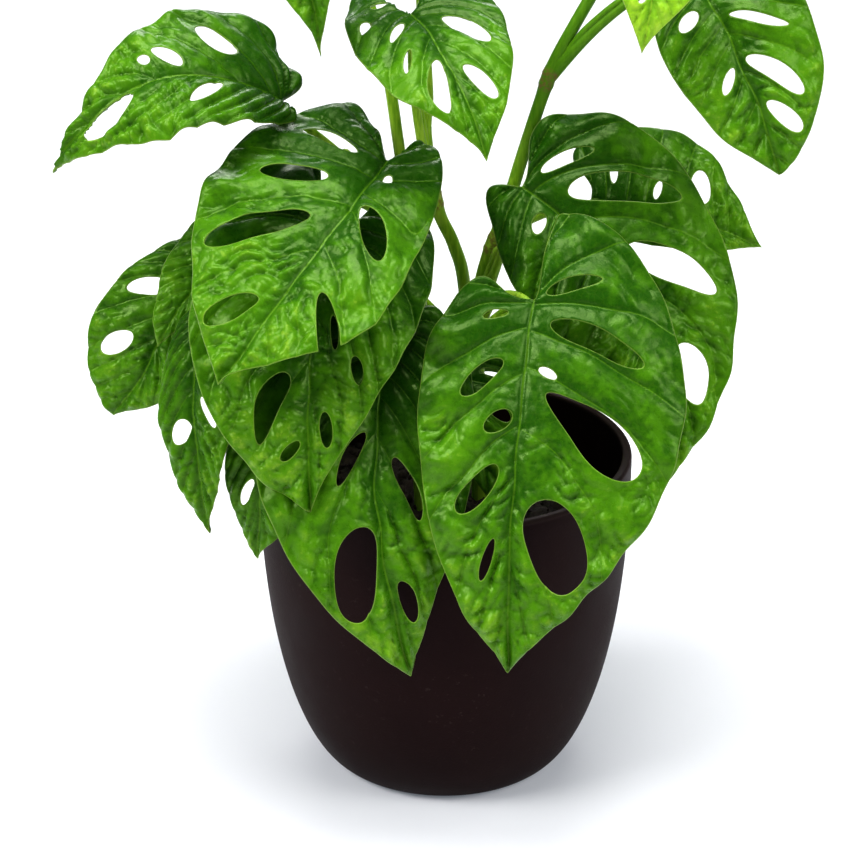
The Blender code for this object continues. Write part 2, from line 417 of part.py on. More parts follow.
class Blade:
    """The shape of one leaf: flat outline and vein pattern, and the curved surface that it hangs in."""

    def __init__(self, leaf):
        self.leaf = leaf
        self.base = np.array(leaf.base, float)
        along = np.array(leaf.tip, float) - self.base
        self.chord = float(np.linalg.norm(along))
        self.ahead = along / self.chord
        face = np.array(leaf.face, float)
        self.up = unit(face - (face @ self.ahead) * self.ahead)
        self.across = np.cross(self.up, self.ahead)
        bow = math.hypot(leaf.sag, leaf.sway)
        self.length = self.chord * (1 + 8 / 3 * (bow / self.chord) ** 2)
        self.edges = {-1: self.half_edge(leaf.left), 1: self.half_edge(leaf.right)}

    def half_edge(self, half):
        """Edge points of one half from notch to tip, each with its share of the way along the edge."""
        length = self.length
        width, widest, lobe = half.width * length, half.widest * length, half.lobe * length
        turn = np.linspace(0, 1, 90) ** LOBE_SPREAD * math.pi / 2
        x = width * np.sin(turn) ** half.square
        y = widest - (widest + lobe) * np.cos(turn) + lobe * np.exp(-((turn / half.notch) ** 2))
        u = np.linspace(0, 1, 91)[1:]
        pinch = 1 - TIP_PINCH * u**TIP_POWER
        x = np.append(x, width * (1 - u) ** half.taper * (1 + half.taper * u) * pinch)
        y = np.append(y, widest + (length - widest) * u)
        along = np.append(0, np.cumsum(np.hypot(np.diff(x), np.diff(y))))
        return x, y, along / along[-1], lobe

    def flat(self, side, vein, share):
        """The flat point at a share of the way out along a vein, on the side -1 or 1."""
        ex, ey, along, lobe = self.edges[side]
        x, y = np.interp(vein, along, ex), np.interp(vein, along, ey)
        origin = self.length * np.clip((y + lobe) / (self.length + lobe), 0, 1) ** VEIN_CROWDING
        bend_x, bend_y = VEIN_BEND_OUT * x, origin + VEIN_BEND_AHEAD * (y - origin)
        inner, middle, outer = (1 - share) ** 2, 2 * share * (1 - share), share**2
        return side * (middle * bend_x + outer * x), inner * origin + middle * bend_y + outer * y

    def hole_ring(self, side, hole):
        """An oval round the line between the hole's two ends, fatter at one end if it is an egg."""
        ends = [self.flat(side, hole.vein_in, hole.inner), self.flat(side, hole.vein_out, hole.outer)]
        count = max(FEWEST_HOLE_POINTS, round((2 * math.dist(*ends) + hole.width) / HOLE_SPACING))
        turn = np.linspace(0, 2 * math.pi, count, endpoint=False)
        share = (1 - np.cos(turn)) / 2
        drift, run_out = hole.vein_out - hole.vein_in, hole.outer - hole.inner
        vein, reach = hole.vein_in + drift * share, hole.inner + run_out * share
        x, y = self.flat(side, vein, reach)
        step = 1e-3
        x2, y2 = self.flat(side, vein + step * drift, reach + step * run_out)
        run = unit(np.column_stack([x2 - x, y2 - y]))
        off = np.sin(turn) * hole.width / 2 * (1 + hole.egg * (2 * share - 1))
        return np.column_stack([x - run[:, 1] * off, y + run[:, 0] * off])

    def frame(self, y):
        """The midrib's point, and its ahead, across and up directions, at y along it."""
        k = (np.asarray(y, float) / self.length)[..., None]
        leaf = self.leaf
        bow = leaf.sag * self.up + leaf.sway * self.across
        point = self.base + self.ahead * self.chord * k + 4 * k * (1 - k) * bow
        ahead = unit(self.ahead * self.chord + 4 * (1 - 2 * k) * bow)
        up = unit(self.up - (ahead @ self.up)[..., None] * ahead)
        return point, ahead, np.cross(up, ahead), up

    def lift(self, x, y, offset=0.0):
        """The flat point (x, y) placed in the leaf's curved surface, offset millimetres above it."""
        point, _, across, up = self.frame(y)
        height = offset - self.leaf.curl * x * x / (CURL_REFERENCE * self.length)
        return point + x[..., None] * across + height[..., None] * up


def inside(points, ring):
    """Which points lie inside a closed ring."""
    x, y = points[:, 0], points[:, 1]
    found = np.zeros(len(points), bool)
    for (ax, ay), (bx, by) in zip(ring, np.roll(ring, -1, axis=0)):
        crosses = (ay > y) != (by > y)
        with np.errstate(divide="ignore", invalid="ignore"):
            found ^= crosses & (x < (bx - ax) * (y - ay) / (by - ay) + ax)
    return found


def edge_distance(points, ring):
    """Each point's distance to the nearest edge of a closed ring."""
    least = np.full(len(points), 1e9)
    for a, b in zip(ring, np.roll(ring, -1, axis=0)):
        ab = b - a
        t = np.clip(((points - a) @ ab) / (ab @ ab), 0, 1)
        least = np.minimum(least, np.linalg.norm(points - a - t[:, None] * ab, axis=1))
    return least


def loose_points(blade, outline, rings, rib):
    """Points between the veins and beside the midrib, clear of the outline and of every hole."""
    rows = []
    for side in (-1, 1):
        for share, count in INNER_ROWS:
            veins = np.linspace(FIRST_VEIN, LAST_VEIN, count)
            rows.append(np.column_stack(blade.flat(side, veins, np.full_like(veins, share))))
    inner = np.vstack(rows)
    inner = inner[np.abs(inner[:, 0]) > RIB_HALF_WIDTH]
    beside = np.vstack([rib + (RIB_HALF_WIDTH, 0), rib - (RIB_HALF_WIDTH, 0)])
    found = []
    for points, clearance in ((inner, POINT_CLEARANCE), (beside, RIB_CLEARANCE)):
        keep = inside(points, outline) & (edge_distance(points, outline) > clearance)
        for ring in rings:
            keep &= ~inside(points, ring) & (edge_distance(points, ring) > clearance)
        found.append(points[keep])
    return np.vstack(found)


def flat_triangles(blade):
    """The blade's flat triangles: its outline less its holes, with the midrib as a row of edges."""
    leaf = blade.leaf
    edge_points = max(FEWEST_EDGE_POINTS, round(OUTLINE_FINENESS * blade.length / EDGE_SPACING))
    shares = np.linspace(0, 1, edge_points + 1)[1:-1]
    right = np.column_stack(blade.flat(1, shares, np.ones_like(shares)))
    left = np.column_stack(blade.flat(-1, shares[::-1], np.ones_like(shares)))
    outline = np.vstack([[(0.0, 0.0)], right, [(0.0, blade.length)], left])
    rings = [blade.hole_ring(-1, hole) for hole in leaf.left_holes]
    rings += [blade.hole_ring(1, hole) for hole in leaf.right_holes]
    rib_y = np.linspace(0, 1, RIB_STEPS + 1)[1:-1] * blade.length
    rib = np.column_stack([np.zeros_like(rib_y), rib_y])
    points, edges = [], []
    for ring in [outline] + rings:
        start = len(points)
        points += ring.tolist()
        edges += [(start + i, start + (i + 1) % len(ring)) for i in range(len(ring))]
    start = len(points)
    points += rib.tolist()
    chain = [0] + list(range(start, start + len(rib))) + [edge_points]
    edges += list(zip(chain, chain[1:]))
    points += loose_points(blade, outline, rings, rib).tolist()
    found, _, faces, _, _, _ = delaunay_2d_cdt(points, edges, [], 0, 1e-5)
    found = np.array([tuple(p) for p in found])
    faces = np.array([tuple(f) for f in faces])
    middles = found[faces].mean(axis=1)
    keep = inside(middles, outline)
    for ring in rings:
        keep &= ~inside(middles, ring)
    faces = faces[keep]
    a, b, c = found[faces[:, 0]], found[faces[:, 1]], found[faces[:, 2]]
    turn = (b[:, 0] - a[:, 0]) * (c[:, 1] - a[:, 1]) - (b[:, 1] - a[:, 1]) * (c[:, 0] - a[:, 0])
    faces = np.where((turn > 0)[:, None], faces[:, ::-1], faces)
    used, index = np.unique(faces, return_inverse=True)
    return found[used], index.reshape(-1, 3)


def make_leaf(leaf, finish):
    """A thin closed blade: the same triangles above and below, joined round every edge."""
    blade = Blade(leaf)
    flat, faces = flat_triangles(blade)
    x, y = flat[:, 0], flat[:, 1]
    along = np.clip(y / blade.length, 0, 1)
    rib = np.where(np.abs(x) < 0.01, RIB_HEIGHT + (RIB_END_HEIGHT - RIB_HEIGHT) * along, 0.0)
    above = blade.lift(x, y, np.full_like(x, BLADE_THICKNESS / 2))
    below = blade.lift(x, y, -BLADE_THICKNESS / 2 - rib)
    count = len(flat)
    edges = {(int(face[i]), int(face[(i + 1) % 3])): None for face in faces for i in range(3)}
    rim = [(a, b) for a, b in edges if (b, a) not in edges]
    solid = [tuple(face) for face in faces] + [tuple(face[::-1] + count) for face in faces]
    for a, b in rim:
        solid += [(b, a, a + count), (b, a + count, b + count)]
    return add_object(leaf.name, np.vstack([above, below]), solid, finish)


def petiole_path(leaf):
    """From inside the vine, by the elbow, to just under the base of the blade's midrib."""
    blade = Blade(leaf)
    point, ahead, _, up = (part[0] for part in blade.frame(np.array([PETIOLE_SEAT])))
    arrive = unit(0.75 * ahead + 0.65 * up)
    elbow = np.array(leaf.elbow, float)
    towards = unit(point - elbow)
    arrive = unit(arrive + 0.8 * towards)
    if arrive @ up < STEEPEST_ARRIVAL:
        arrive = unit(arrive + (0.4 - arrive @ up) * up)
    tilt = math.sqrt(max(0.0, 1 - float(arrive @ up) ** 2))
    drop = BLADE_THICKNESS / 2 + RIB_HEIGHT + GAP + PETIOLE_END_RADIUS * tilt
    end = point - drop * up
    start = np.array(leaf.start, float)
    knuckle = end - PETIOLE_REACH * np.linalg.norm(end - elbow) * arrive
    t = np.linspace(0, 1, PETIOLE_RINGS)[:, None]
    near_start = (1 - t) ** 3 * start + 3 * (1 - t) ** 2 * t * elbow
    return near_start + 3 * (1 - t) * t**2 * knuckle + t**3 * end


def make_vine(vine, finish):
    """The vine with its swollen joints, and the petioles that grow from it, as one body."""
    length = sum(math.dist(a, b) for a, b in zip(vine.route, vine.route[1:]))
    path = smooth_path(vine.route, max(8, int(length / VINE_SPACING)))
    share = np.linspace(0, 1, len(path))
    radii = vine.root_radius * (1 - VINE_TAPER * share)
    grown = [leaf for leaf in LEAVES if leaf.stem == vine.name]
    for leaf in grown:
        near = np.linalg.norm(path - np.array(leaf.start, float), axis=1)
        radii *= 1 + NODE_SWELL * np.exp(-((near / JOINT_LENGTH) ** 2))
    spear = share > 1 - SPEAR_SHARE
    radii[spear] = np.linspace(radii[~spear][-1] * SPEAR_START, vine.end_radius, spear.sum())
    made = tube(vine.name, path, radii, VINE_SIDES, finish)
    for leaf in grown:
        petiole = petiole_path(leaf)
        taper = np.linspace(0, 1, PETIOLE_RINGS) ** PETIOLE_TAPER
        sizes = PETIOLE_BASE_RADIUS + (PETIOLE_END_RADIUS - PETIOLE_BASE_RADIUS) * taper
        branch = tube("petiole_of_" + leaf.name, petiole, sizes, PETIOLE_SIDES, finish)
        cut(made, branch, "UNION")
    return made


def main():
    for old in list(bpy.data.objects):
        bpy.data.objects.remove(old)
    leaf_finish = material("leaf_green", LEAF_COLOR, 0.38)
    young_finish = material("young_leaf_green", YOUNG_LEAF_COLOR, 0.38)
    stem_finish = material("stem_green", STEM_COLOR, 0.45)
    make_pot(material("pot_dark_brown", POT_COLOR, 0.6))
    make_soil(material("dark_soil", SOIL_COLOR, 0.95))
    for vine in VINES:
        make_vine(vine, stem_finish)
    for leaf in LEAVES:
        make_leaf(leaf, young_finish if leaf.name == "leaf_young_top" else leaf_finish)


main()
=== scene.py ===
# %% [markdown]
# # A swiss cheese vine in a round dark pot
# This notebook dresses a measured model of a potted monstera adansonii. The measured solids give every
# piece its place and size. The cells below build the finer leaves, stems, pot and soil that stand for
# them, give each one a material made of nodes, and set up a plain studio around the plant.

# %% Open the measured model
import math
from collections import namedtuple

import bmesh
import bpy
import numpy as np
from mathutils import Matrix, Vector
from mathutils.geometry import delaunay_2d_cdt
from mathutils.kdtree import KDTree


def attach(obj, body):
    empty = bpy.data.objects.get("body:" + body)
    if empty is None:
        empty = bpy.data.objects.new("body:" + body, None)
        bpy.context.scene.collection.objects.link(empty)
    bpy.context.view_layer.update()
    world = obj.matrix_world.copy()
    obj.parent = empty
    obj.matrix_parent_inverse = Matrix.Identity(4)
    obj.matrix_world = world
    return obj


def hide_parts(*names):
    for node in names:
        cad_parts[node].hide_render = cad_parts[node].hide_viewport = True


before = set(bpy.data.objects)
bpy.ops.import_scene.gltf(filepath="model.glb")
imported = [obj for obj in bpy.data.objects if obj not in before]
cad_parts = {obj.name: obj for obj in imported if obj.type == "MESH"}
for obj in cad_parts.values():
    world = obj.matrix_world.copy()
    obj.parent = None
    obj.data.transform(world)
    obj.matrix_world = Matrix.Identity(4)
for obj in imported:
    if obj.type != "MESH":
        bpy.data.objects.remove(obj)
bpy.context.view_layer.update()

print("measured nodes:", len(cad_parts))

# %% [markdown]
# ## Lengths and small helpers
# The plant is designed in millimetres, because a leaf is easy to think about in them, and every mesh is
# scaled to metres as it is made. The pot's foot stands on z = 0, its middle is the origin, and the
# front of the plant looks along -Y. The wave field below takes the place of a noise texture wherever
# the shape itself has to move.

# %% Small helpers
MM = 0.001
FINE = 0.8


def unit(v):
    """The same directions at length 1."""
    v = np.asarray(v, float)
    return v / np.linalg.norm(v, axis=-1, keepdims=True)


def smooth_step(low, high, value):
    """0 below low, 1 above high, with a soft step between."""
    t = np.clip((np.asarray(value, float) - low) / (high - low), 0, 1)
    return t * t * (3 - 2 * t)


def way_along(line):
    """How far along a line of points each point lies."""
    return np.append(0, np.cumsum(np.linalg.norm(np.diff(line, axis=0), axis=1)))


def waves(points, length, seed, count=7):
    """A smooth random field between about -1 and 1: a few plane waves of nearly one length."""
    draw = np.random.default_rng(seed)
    angle = draw.uniform(0, 2 * np.pi, count)
    size = length * draw.uniform(0.75, 1.4, count)
    start = draw.uniform(0, 2 * np.pi, count)
    run = np.outer(points[:, 0], np.cos(angle)) + np.outer(points[:, 1], np.sin(angle))
    return np.sin(2 * np.pi * run / size + start).sum(axis=1) / math.sqrt(count)


print("mesh spacing in mm:", FINE)

# %% [markdown]
# ## From points to a mesh
# A leaf could be sculpted or pushed about in Edit Mode. Here its points are worked out, so each piece is
# made by handing Blender a list of points and a list of triangles. What a material needs to know about
# a place, such as how far it is from an edge, goes onto the points at the same time, as attributes.

# %% Make a mesh
def new_mesh(name, points, faces, finish, attributes=None):
    """A smooth-shaded mesh object from points in millimetres and triangles."""
    mesh = bpy.data.meshes.new(name)
    mesh.from_pydata(np.asarray(points, float) * MM, [], np.asarray(faces, int))
    mesh.materials.append(finish)
    for key, values in (attributes or {}).items():
        values = np.asarray(values, np.float32)
        kind = "FLOAT" if values.ndim == 1 else "FLOAT_VECTOR"
        layer = mesh.attributes.new(key, kind, "POINT")
        layer.data.foreach_set("value" if values.ndim == 1 else "vector", values.ravel())
    mesh.shade_smooth()
    mesh.update()
    made = bpy.data.objects.new(name, mesh)
    bpy.context.scene.collection.objects.link(made)
    return made


print("a design of 1000 mm becomes", 1000 * MM, "m in Blender")

# %% [markdown]
# ## The words of the leaf table
# Every leaf of this plant is a little different. They could each be modelled, but it is less work, and
# easier to correct, to find the few words that describe any of them: the shape of its two halves, its
# holes, and how it hangs.

# %% Words for a leaf
# One half of a blade, as shares of the blade's length: its greatest width, how far along that lies,
# how far its lobe reaches back past the petiole, the taper to the tip (below 1 is blunt, above 1 is
# drawn out), how wide the notch at the petiole is, and how square the lobe is (below 1 is square).
Half = namedtuple("Half", "width widest lobe taper notch square")

# A hole lies along the side veins. Veins are numbered 0 at the notch to 1 at the tip by where they
# meet the edge: vein_in and vein_out are the hole's two ends, inner and outer their shares of the way
# from midrib to edge, width is in millimetres, and egg moves the fat end outwards.
Hole = namedtuple("Hole", "vein_in vein_out inner outer width egg", defaults=(0.0,))

# A leaf hangs from base to tip. face is the way its upper side looks. sag and sway bow the midrib
# upwards and sideways at mid length, and curl bends the two edges down. stem names the vine, start is
# the point on that vine where the petiole leaves it, elbow the point that it bends towards.
Leaf = namedtuple("Leaf",
                  "name base tip face sag sway curl left right left_holes right_holes stem start elbow")
print("a leaf is told by:", ", ".join(Leaf._fields))

# %% [markdown]
# ## The leaves as a table
# Now each leaf has one entry. The same words describe a broad old leaf and a narrow young one. Reading
# the leaves off one by one takes care, but it is what makes the plant look grown and not stamped out.

# %% Leaves
LEAVES = (
    Leaf("leaf_front_right", (30, -53, 207), (21, -100, 84), (-0.05, -0.9, 0.4), 12, -1.2, 0.10,
         Half(0.26, 0.25, 0.05, 0.89, 0.18, 0.57), Half(0.42, 0.28, 0.24, 1.10, 0.04, 0.90),
         (Hole(0.27, 0.27, 0.20, 0.47, 3.4), Hole(0.43, 0.45, 0.19, 0.62, 7.0),
          Hole(0.56, 0.57, 0.09, 0.34, 6.6), Hole(0.65, 0.68, 0.22, 0.69, 8.2),
          Hole(0.77, 0.82, 0.27, 0.57, 4.2)),
         (Hole(0.24, 0.28, 0.12, 0.62, 5.2), Hole(0.40, 0.46, 0.13, 0.72, 8.6),
          Hole(0.515, 0.525, 0.07, 0.18, 3.6), Hole(0.56, 0.64, 0.13, 0.78, 15.5, 0.33),
          Hole(0.73, 0.85, 0.17, 0.72, 20.0, -0.08)),
         "vine_right", (13, 2, 174), (17, -36, 208)),
    Leaf("leaf_back_right", (28, -8, 232), (80, -46, 133), (0.1, -0.85, 0.45), 10, 15.4, 0.10,
         Half(0.26, 0.33, 0.10, 1.15, 0.16, 1.15), Half(0.35, 0.19, 0.11, 0.98, 0.34, 1.05),
         (Hole(0.33, 0.34, 0.12, 0.36, 5.0),),
         (Hole(0.24, 0.31, 0.18, 0.60, 4.6), Hole(0.37, 0.47, 0.15, 0.83, 11.0),
          Hole(0.57, 0.64, 0.16, 0.82, 12.0, -0.19), Hole(0.76, 0.85, 0.32, 0.66, 12.0)),
         "vine_right", (13, 2, 182), (22, -6, 208)),
    Leaf("leaf_front_middle", (-20, -41, 188), (-11, -88, 75), (0.15, -0.9, 0.4), 14, -10.5, 0.12,
         Half(0.37, 0.08, 0.14, 1.02, 0.20, 0.95), Half(0.28, 0.26, 0.14, 1.15, 0.20, 0.95),
         (Hole(0.57, 0.65, 0.10, 0.39, 5.4), Hole(0.74, 0.86, 0.17, 0.77, 16.0)),
         (Hole(0.59, 0.69, 0.18, 0.52, 5.6), Hole(0.83, 0.89, 0.23, 0.60, 6.4)),
         "vine_low", (-8, -9, 150), (-19, -14, 196)),
    Leaf("leaf_upper_left", (-20, -22, 248), (-77, -92, 190), (-0.25, -0.85, 0.45), 10, 3.0, 0.10,
         Half(0.46, 0.30, 0.36, 0.85, 0.45, 1.30), Half(0.29, 0.58, 0.15, 1.78, 0.10, 0.96),
         (Hole(0.30, 0.32, 0.22, 0.73, 6.6), Hole(0.45, 0.50, 0.24, 0.67, 8.4),
          Hole(0.575, 0.71, 0.17, 0.85, 10.5), Hole(0.79, 0.88, 0.18, 0.86, 8.0)),
         (Hole(0.38, 0.34, 0.12, 0.24, 3.8), Hole(0.50, 0.57, 0.12, 0.63, 8.4),
          Hole(0.72, 0.77, 0.36, 1.30, 8.0)),
         "vine_left", (-13, 11, 214), (-13, 2, 244)),
    Leaf("leaf_lower_left", (-41, -30, 223), (-47, -84, 139), (0.0, -0.85, 0.5), 12, -3.1, 0.10,
         Half(0.42, 0.30, 0.38, 0.80, 0.20, 0.95), Half(0.37, 0.10, 0.26, 1.22, 0.20, 0.65),
         (Hole(0.715, 0.835, 0.19, 0.65, 8.4, -0.3), Hole(0.845, 0.875, 0.11, 0.42, 4.4)),
         (Hole(0.61, 0.69, 0.17, 0.30, 3.2), Hole(0.68, 0.73, 0.52, 0.70, 4.2),
          Hole(0.82, 0.88, 0.32, 0.60, 4.8)),
         "vine_low", (-9, -8, 160), (-30, -10, 222)),
    Leaf("leaf_far_left", (-57, -4, 263), (-139, -24, 243), (-0.35, -0.6, 0.8), 26, -4.2, 0.12,
         Half(0.345, 0.08, 0.06, 1.65, 0.20, 1.20), Half(0.24, 0.50, 0.06, 1.20, 0.20, 1.20),
         (Hole(0.44, 0.50, 0.33, 0.68, 11.0), Hole(0.65, 0.66, 0.14, 0.58, 6.0),
          Hole(0.70, 0.71, 0.38, 0.57, 4.6)),
         (Hole(0.47, 0.54, 0.14, 0.50, 5.8), Hole(0.74, 0.88, 0.15, 0.56, 9.4)),
         "vine_left", (-12, 12, 205), (-40, 14, 246)),
    Leaf("leaf_top_middle", (-12, -8, 297), (14, -56, 259), (0.1, -0.6, 0.8), 8, 0.4, 0.12,
         Half(0.39, 0.28, 0.36, 1.38, 0.13, 0.85), Half(0.42, 0.06, 0.20, 0.98, 0.20, 0.80),
         (Hole(0.20, 0.30, 0.45, 0.60, 5.0), Hole(0.39, 0.45, 0.66, 0.82, 3.8),
          Hole(0.45, 0.54, 0.24, 0.52, 3.2), Hole(0.60, 0.67, 0.36, 0.66, 2.8),
          Hole(0.68, 0.85, 0.12, 0.72, 7.6)),
         (Hole(0.47, 0.61, 0.21, 0.70, 6.8), Hole(0.72, 0.82, 0.19, 0.74, 6.0)),
         "vine_middle", (-4, 8, 222), (-13, 0, 262)),
    Leaf("leaf_top_right", (85, -12, 312), (115, -40, 248), (-0.1, -0.8, 0.6), 8, 2.1, 0.10,
         Half(0.30, 0.30, 0.06, 0.88, 0.20, 1.20), Half(0.37, 0.36, 0.14, 0.70, 0.20, 0.95),
         (Hole(0.42, 0.42, 0.21, 0.57, 5.6), Hole(0.67, 0.69, 0.13, 0.55, 4.2)),
         (Hole(0.38, 0.40, 0.12, 0.50, 3.2), Hole(0.51, 0.55, 0.10, 0.70, 3.8),
          Hole(0.65, 0.74, 0.10, 0.74, 7.2), Hole(0.78, 0.85, 0.12, 0.80, 6.8)),
         "vine_right", (37, 9, 267), (66, 2, 306)),
    Leaf("leaf_side_right", (53, 16, 219), (117, 8, 203), (0.1, -0.8, 0.6), 6, 0.0, 0.10,
         Half(0.19, 0.30, 0.10, 1.00, 0.20, 0.95), Half(0.49, 0.36, 0.19, 1.35, 0.20, 0.65),
         (Hole(0.44, 0.50, 0.24, 0.64, 3.0), Hole(0.64, 0.70, 0.24, 0.62, 2.6)),
         (Hole(0.40, 0.36, 0.20, 0.50, 3.2), Hole(0.60, 0.58, 0.10, 0.34, 3.2),
          Hole(0.75, 0.67, 0.36, 0.70, 7.4)),
         "vine_right", (17, 4, 206), (34, 20, 214)),
    Leaf("leaf_left", (-89, 2, 202), (-122, -16, 145), (-0.15, -0.9, 0.4), 8, 3.7, 0.10,
         Half(0.38, 0.50, 0.12, 0.60, 0.18, 1.30), Half(0.30, 0.26, 0.14, 1.05, 0.20, 0.95),
         (Hole(0.42, 0.46, 0.16, 0.75, 7.2), Hole(0.64, 0.73, 0.36, 0.72, 8.0)),
         (Hole(0.40, 0.46, 0.22, 0.62, 4.5), Hole(0.62, 0.68, 0.22, 0.62, 4.0)),
         "vine_left", (-9, 16, 168), (-60, 18, 206)),
    Leaf("leaf_small_left", (-75, -5, 211), (-104, -28, 178), (-0.2, -0.85, 0.5), 6, 0.0, 0.10,
         Half(0.33, 0.10, 0.15, 0.90, 0.20, 0.95), Half(0.24, 0.20, 0.14, 1.30, 0.20, 0.95),
         (Hole(0.45, 0.50, 0.22, 0.62, 3.2),),
         (Hole(0.48, 0.54, 0.24, 0.62, 2.8),),
         "vine_left", (-10, 14, 186), (-46, -6, 220)),
    Leaf("leaf_hanging_left", (-89, -34, 192), (-85, -50, 115), (-0.5, -0.85, 0.3), 6, 0.0, 0.15,
         Half(0.18, 0.45, 0.06, 1.15, 0.20, 1.30), Half(0.19, 0.45, 0.12, 1.50, 0.20, 0.95),
         (Hole(0.64, 0.68, 0.16, 0.56, 6.6),),
         (Hole(0.56, 0.62, 0.26, 0.66, 4.6),),
         "vine_low", (-10, -7, 140), (-62, -18, 204)),
    Leaf("leaf_rim_left", (-61, -42, 165), (-68, -48, 103), (-0.3, -0.9, 0.3), 5, 0.0, 0.10,
         Half(0.24, 0.20, 0.14, 0.85, 0.20, 0.95), Half(0.40, 0.30, 0.14, 1.40, 0.20, 0.95),
         (Hole(0.69, 0.77, 0.24, 0.58, 3.6),),
         (Hole(0.52, 0.58, 0.24, 0.62, 4.6), Hole(0.72, 0.78, 0.26, 0.60, 3.8)),
         "vine_low", (-10, -6, 128), (-42, -26, 174)),
    Leaf("leaf_young_top", (74, -34, 338), (66, -48, 294), (0.0, -0.85, 0.4), 5, 0.0, 0.12,
         Half(0.29, 0.24, 0.14, 1.10, 0.20, 0.95), Half(0.36, 0.25, 0.14, 1.45, 0.20, 0.95),
         (Hole(0.50, 0.54, 0.24, 0.62, 2.6), Hole(0.74, 0.78, 0.22, 0.50, 3.0)),
         (Hole(0.52, 0.57, 0.24, 0.62, 2.8),),
         "vine_right", (62, 11, 317), (76, -8, 352)),
    Leaf("leaf_top_left", (-52, -14, 359), (-43, -34, 288), (-0.2, -0.85, 0.45), 6, 0.0, 0.12,
         Half(0.30, 0.24, 0.14, 1.75, 0.20, 0.95), Half(0.30, 0.22, 0.14, 1.75, 0.20, 0.95),
         (Hole(0.36, 0.40, 0.22, 0.64, 4.4), Hole(0.52, 0.57, 0.22, 0.60, 4.0)),
         (Hole(0.36, 0.40, 0.22, 0.64, 4.4), Hole(0.52, 0.57, 0.22, 0.60, 4.0)),
         "vine_left", (-36, 14, 317), (-50, 8, 361)),
    Leaf("leaf_crown_right", (94, 26, 360), (136, 66, 326), (0.5, 0.3, 0.8), 10, 2.0, 0.10,
         Half(0.36, 0.26, 0.14, 1.05, 0.18, 0.95), Half(0.36, 0.26, 0.14, 1.05, 0.18, 0.95),
         (Hole(0.38, 0.42, 0.20, 0.68, 5.0), Hole(0.56, 0.62, 0.20, 0.66, 5.0),
          Hole(0.73, 0.78, 0.24, 0.60, 4.0)),
         (Hole(0.38, 0.42, 0.20, 0.68, 5.0), Hole(0.56, 0.62, 0.20, 0.66, 5.0),
          Hole(0.73, 0.78, 0.24, 0.60, 4.0)),
         "vine_right", (70, 12, 332), (84, 20, 354)),
    Leaf("leaf_crown_back", (-6, 38, 346), (-14, 100, 308), (0.0, 0.5, 0.85), 10, -2.0, 0.10,
         Half(0.37, 0.25, 0.16, 1.05, 0.18, 0.95), Half(0.37, 0.25, 0.16, 1.05, 0.18, 0.95),
         (Hole(0.38, 0.42, 0.20, 0.68, 6.0), Hole(0.56, 0.62, 0.20, 0.66, 6.0),
          Hole(0.73, 0.78, 0.24, 0.60, 4.6)),
         (Hole(0.38, 0.42, 0.20, 0.68, 6.0), Hole(0.56, 0.62, 0.20, 0.66, 6.0),
          Hole(0.73, 0.78, 0.24, 0.60, 4.6)),
         "vine_middle", (-9, 16, 305), (-7, 24, 348)),
    Leaf("leaf_back_left", (-40, 34, 216), (-80, 88, 152), (-0.35, 0.75, 0.55), 12, 2.0, 0.10,
         Half(0.37, 0.25, 0.16, 1.05, 0.18, 0.95), Half(0.37, 0.25, 0.16, 1.05, 0.18, 0.95),
         (Hole(0.30, 0.32, 0.24, 0.62, 4.6), Hole(0.44, 0.49, 0.18, 0.72, 7.4),
          Hole(0.60, 0.67, 0.18, 0.70, 7.6), Hole(0.76, 0.82, 0.22, 0.60, 5.0)),
         (Hole(0.30, 0.32, 0.24, 0.62, 4.6), Hole(0.44, 0.49, 0.18, 0.72, 7.4),
          Hole(0.60, 0.67, 0.18, 0.70, 7.6), Hole(0.76, 0.82, 0.22, 0.60, 5.0)),
         "vine_left", (-10, 14, 190), (-26, 20, 224)),
    Leaf("leaf_back_low", (-38, 48, 180), (-54, 94, 100), (-0.2, 0.9, 0.4), 12, -2.0, 0.10,
         Half(0.36, 0.25, 0.15, 1.05, 0.18, 0.95), Half(0.36, 0.25, 0.15, 1.05, 0.18, 0.95),
         (Hole(0.36, 0.40, 0.20, 0.66, 6.4), Hole(0.54, 0.60, 0.18, 0.70, 7.4),
          Hole(0.72, 0.78, 0.22, 0.62, 5.6)),
         (Hole(0.36, 0.40, 0.20, 0.66, 6.4), Hole(0.54, 0.60, 0.18, 0.70, 7.4),
          Hole(0.72, 0.78, 0.22, 0.62, 5.6)),
         "vine_back", (8, 33, 146), (-14, 40, 186)),
    Leaf("leaf_back_side", (66, 46, 156), (88, 86, 92), (0.35, 0.85, 0.4), 9, 2.0, 0.10,
         Half(0.24, 0.25, 0.12, 1.05, 0.18, 0.95), Half(0.32, 0.25, 0.12, 1.05, 0.18, 0.95),
         (Hole(0.36, 0.40, 0.22, 0.66, 4.2), Hole(0.54, 0.60, 0.20, 0.70, 4.6),
          Hole(0.72, 0.78, 0.24, 0.62, 3.4)),
         (Hole(0.36, 0.40, 0.20, 0.66, 5.0), Hole(0.54, 0.60, 0.18, 0.70, 5.6),
          Hole(0.72, 0.78, 0.22, 0.62, 4.2)),
         "vine_back", (10, 33, 156), (42, 40, 184)),
    Leaf("leaf_back_rim", (8, 82, 124), (6, 100, 38), (0.05, 0.95, 0.3), 6, 2.0, 0.10,
         Half(0.37, 0.25, 0.15, 1.05, 0.18, 0.95), Half(0.37, 0.25, 0.15, 1.05, 0.18, 0.95),
         (Hole(0.30, 0.32, 0.24, 0.60, 4.2), Hole(0.44, 0.49, 0.18, 0.72, 6.6),
          Hole(0.60, 0.67, 0.18, 0.70, 7.2), Hole(0.76, 0.82, 0.22, 0.60, 4.6)),
         (Hole(0.30, 0.32, 0.24, 0.60, 4.2), Hole(0.44, 0.49, 0.18, 0.72, 6.6),
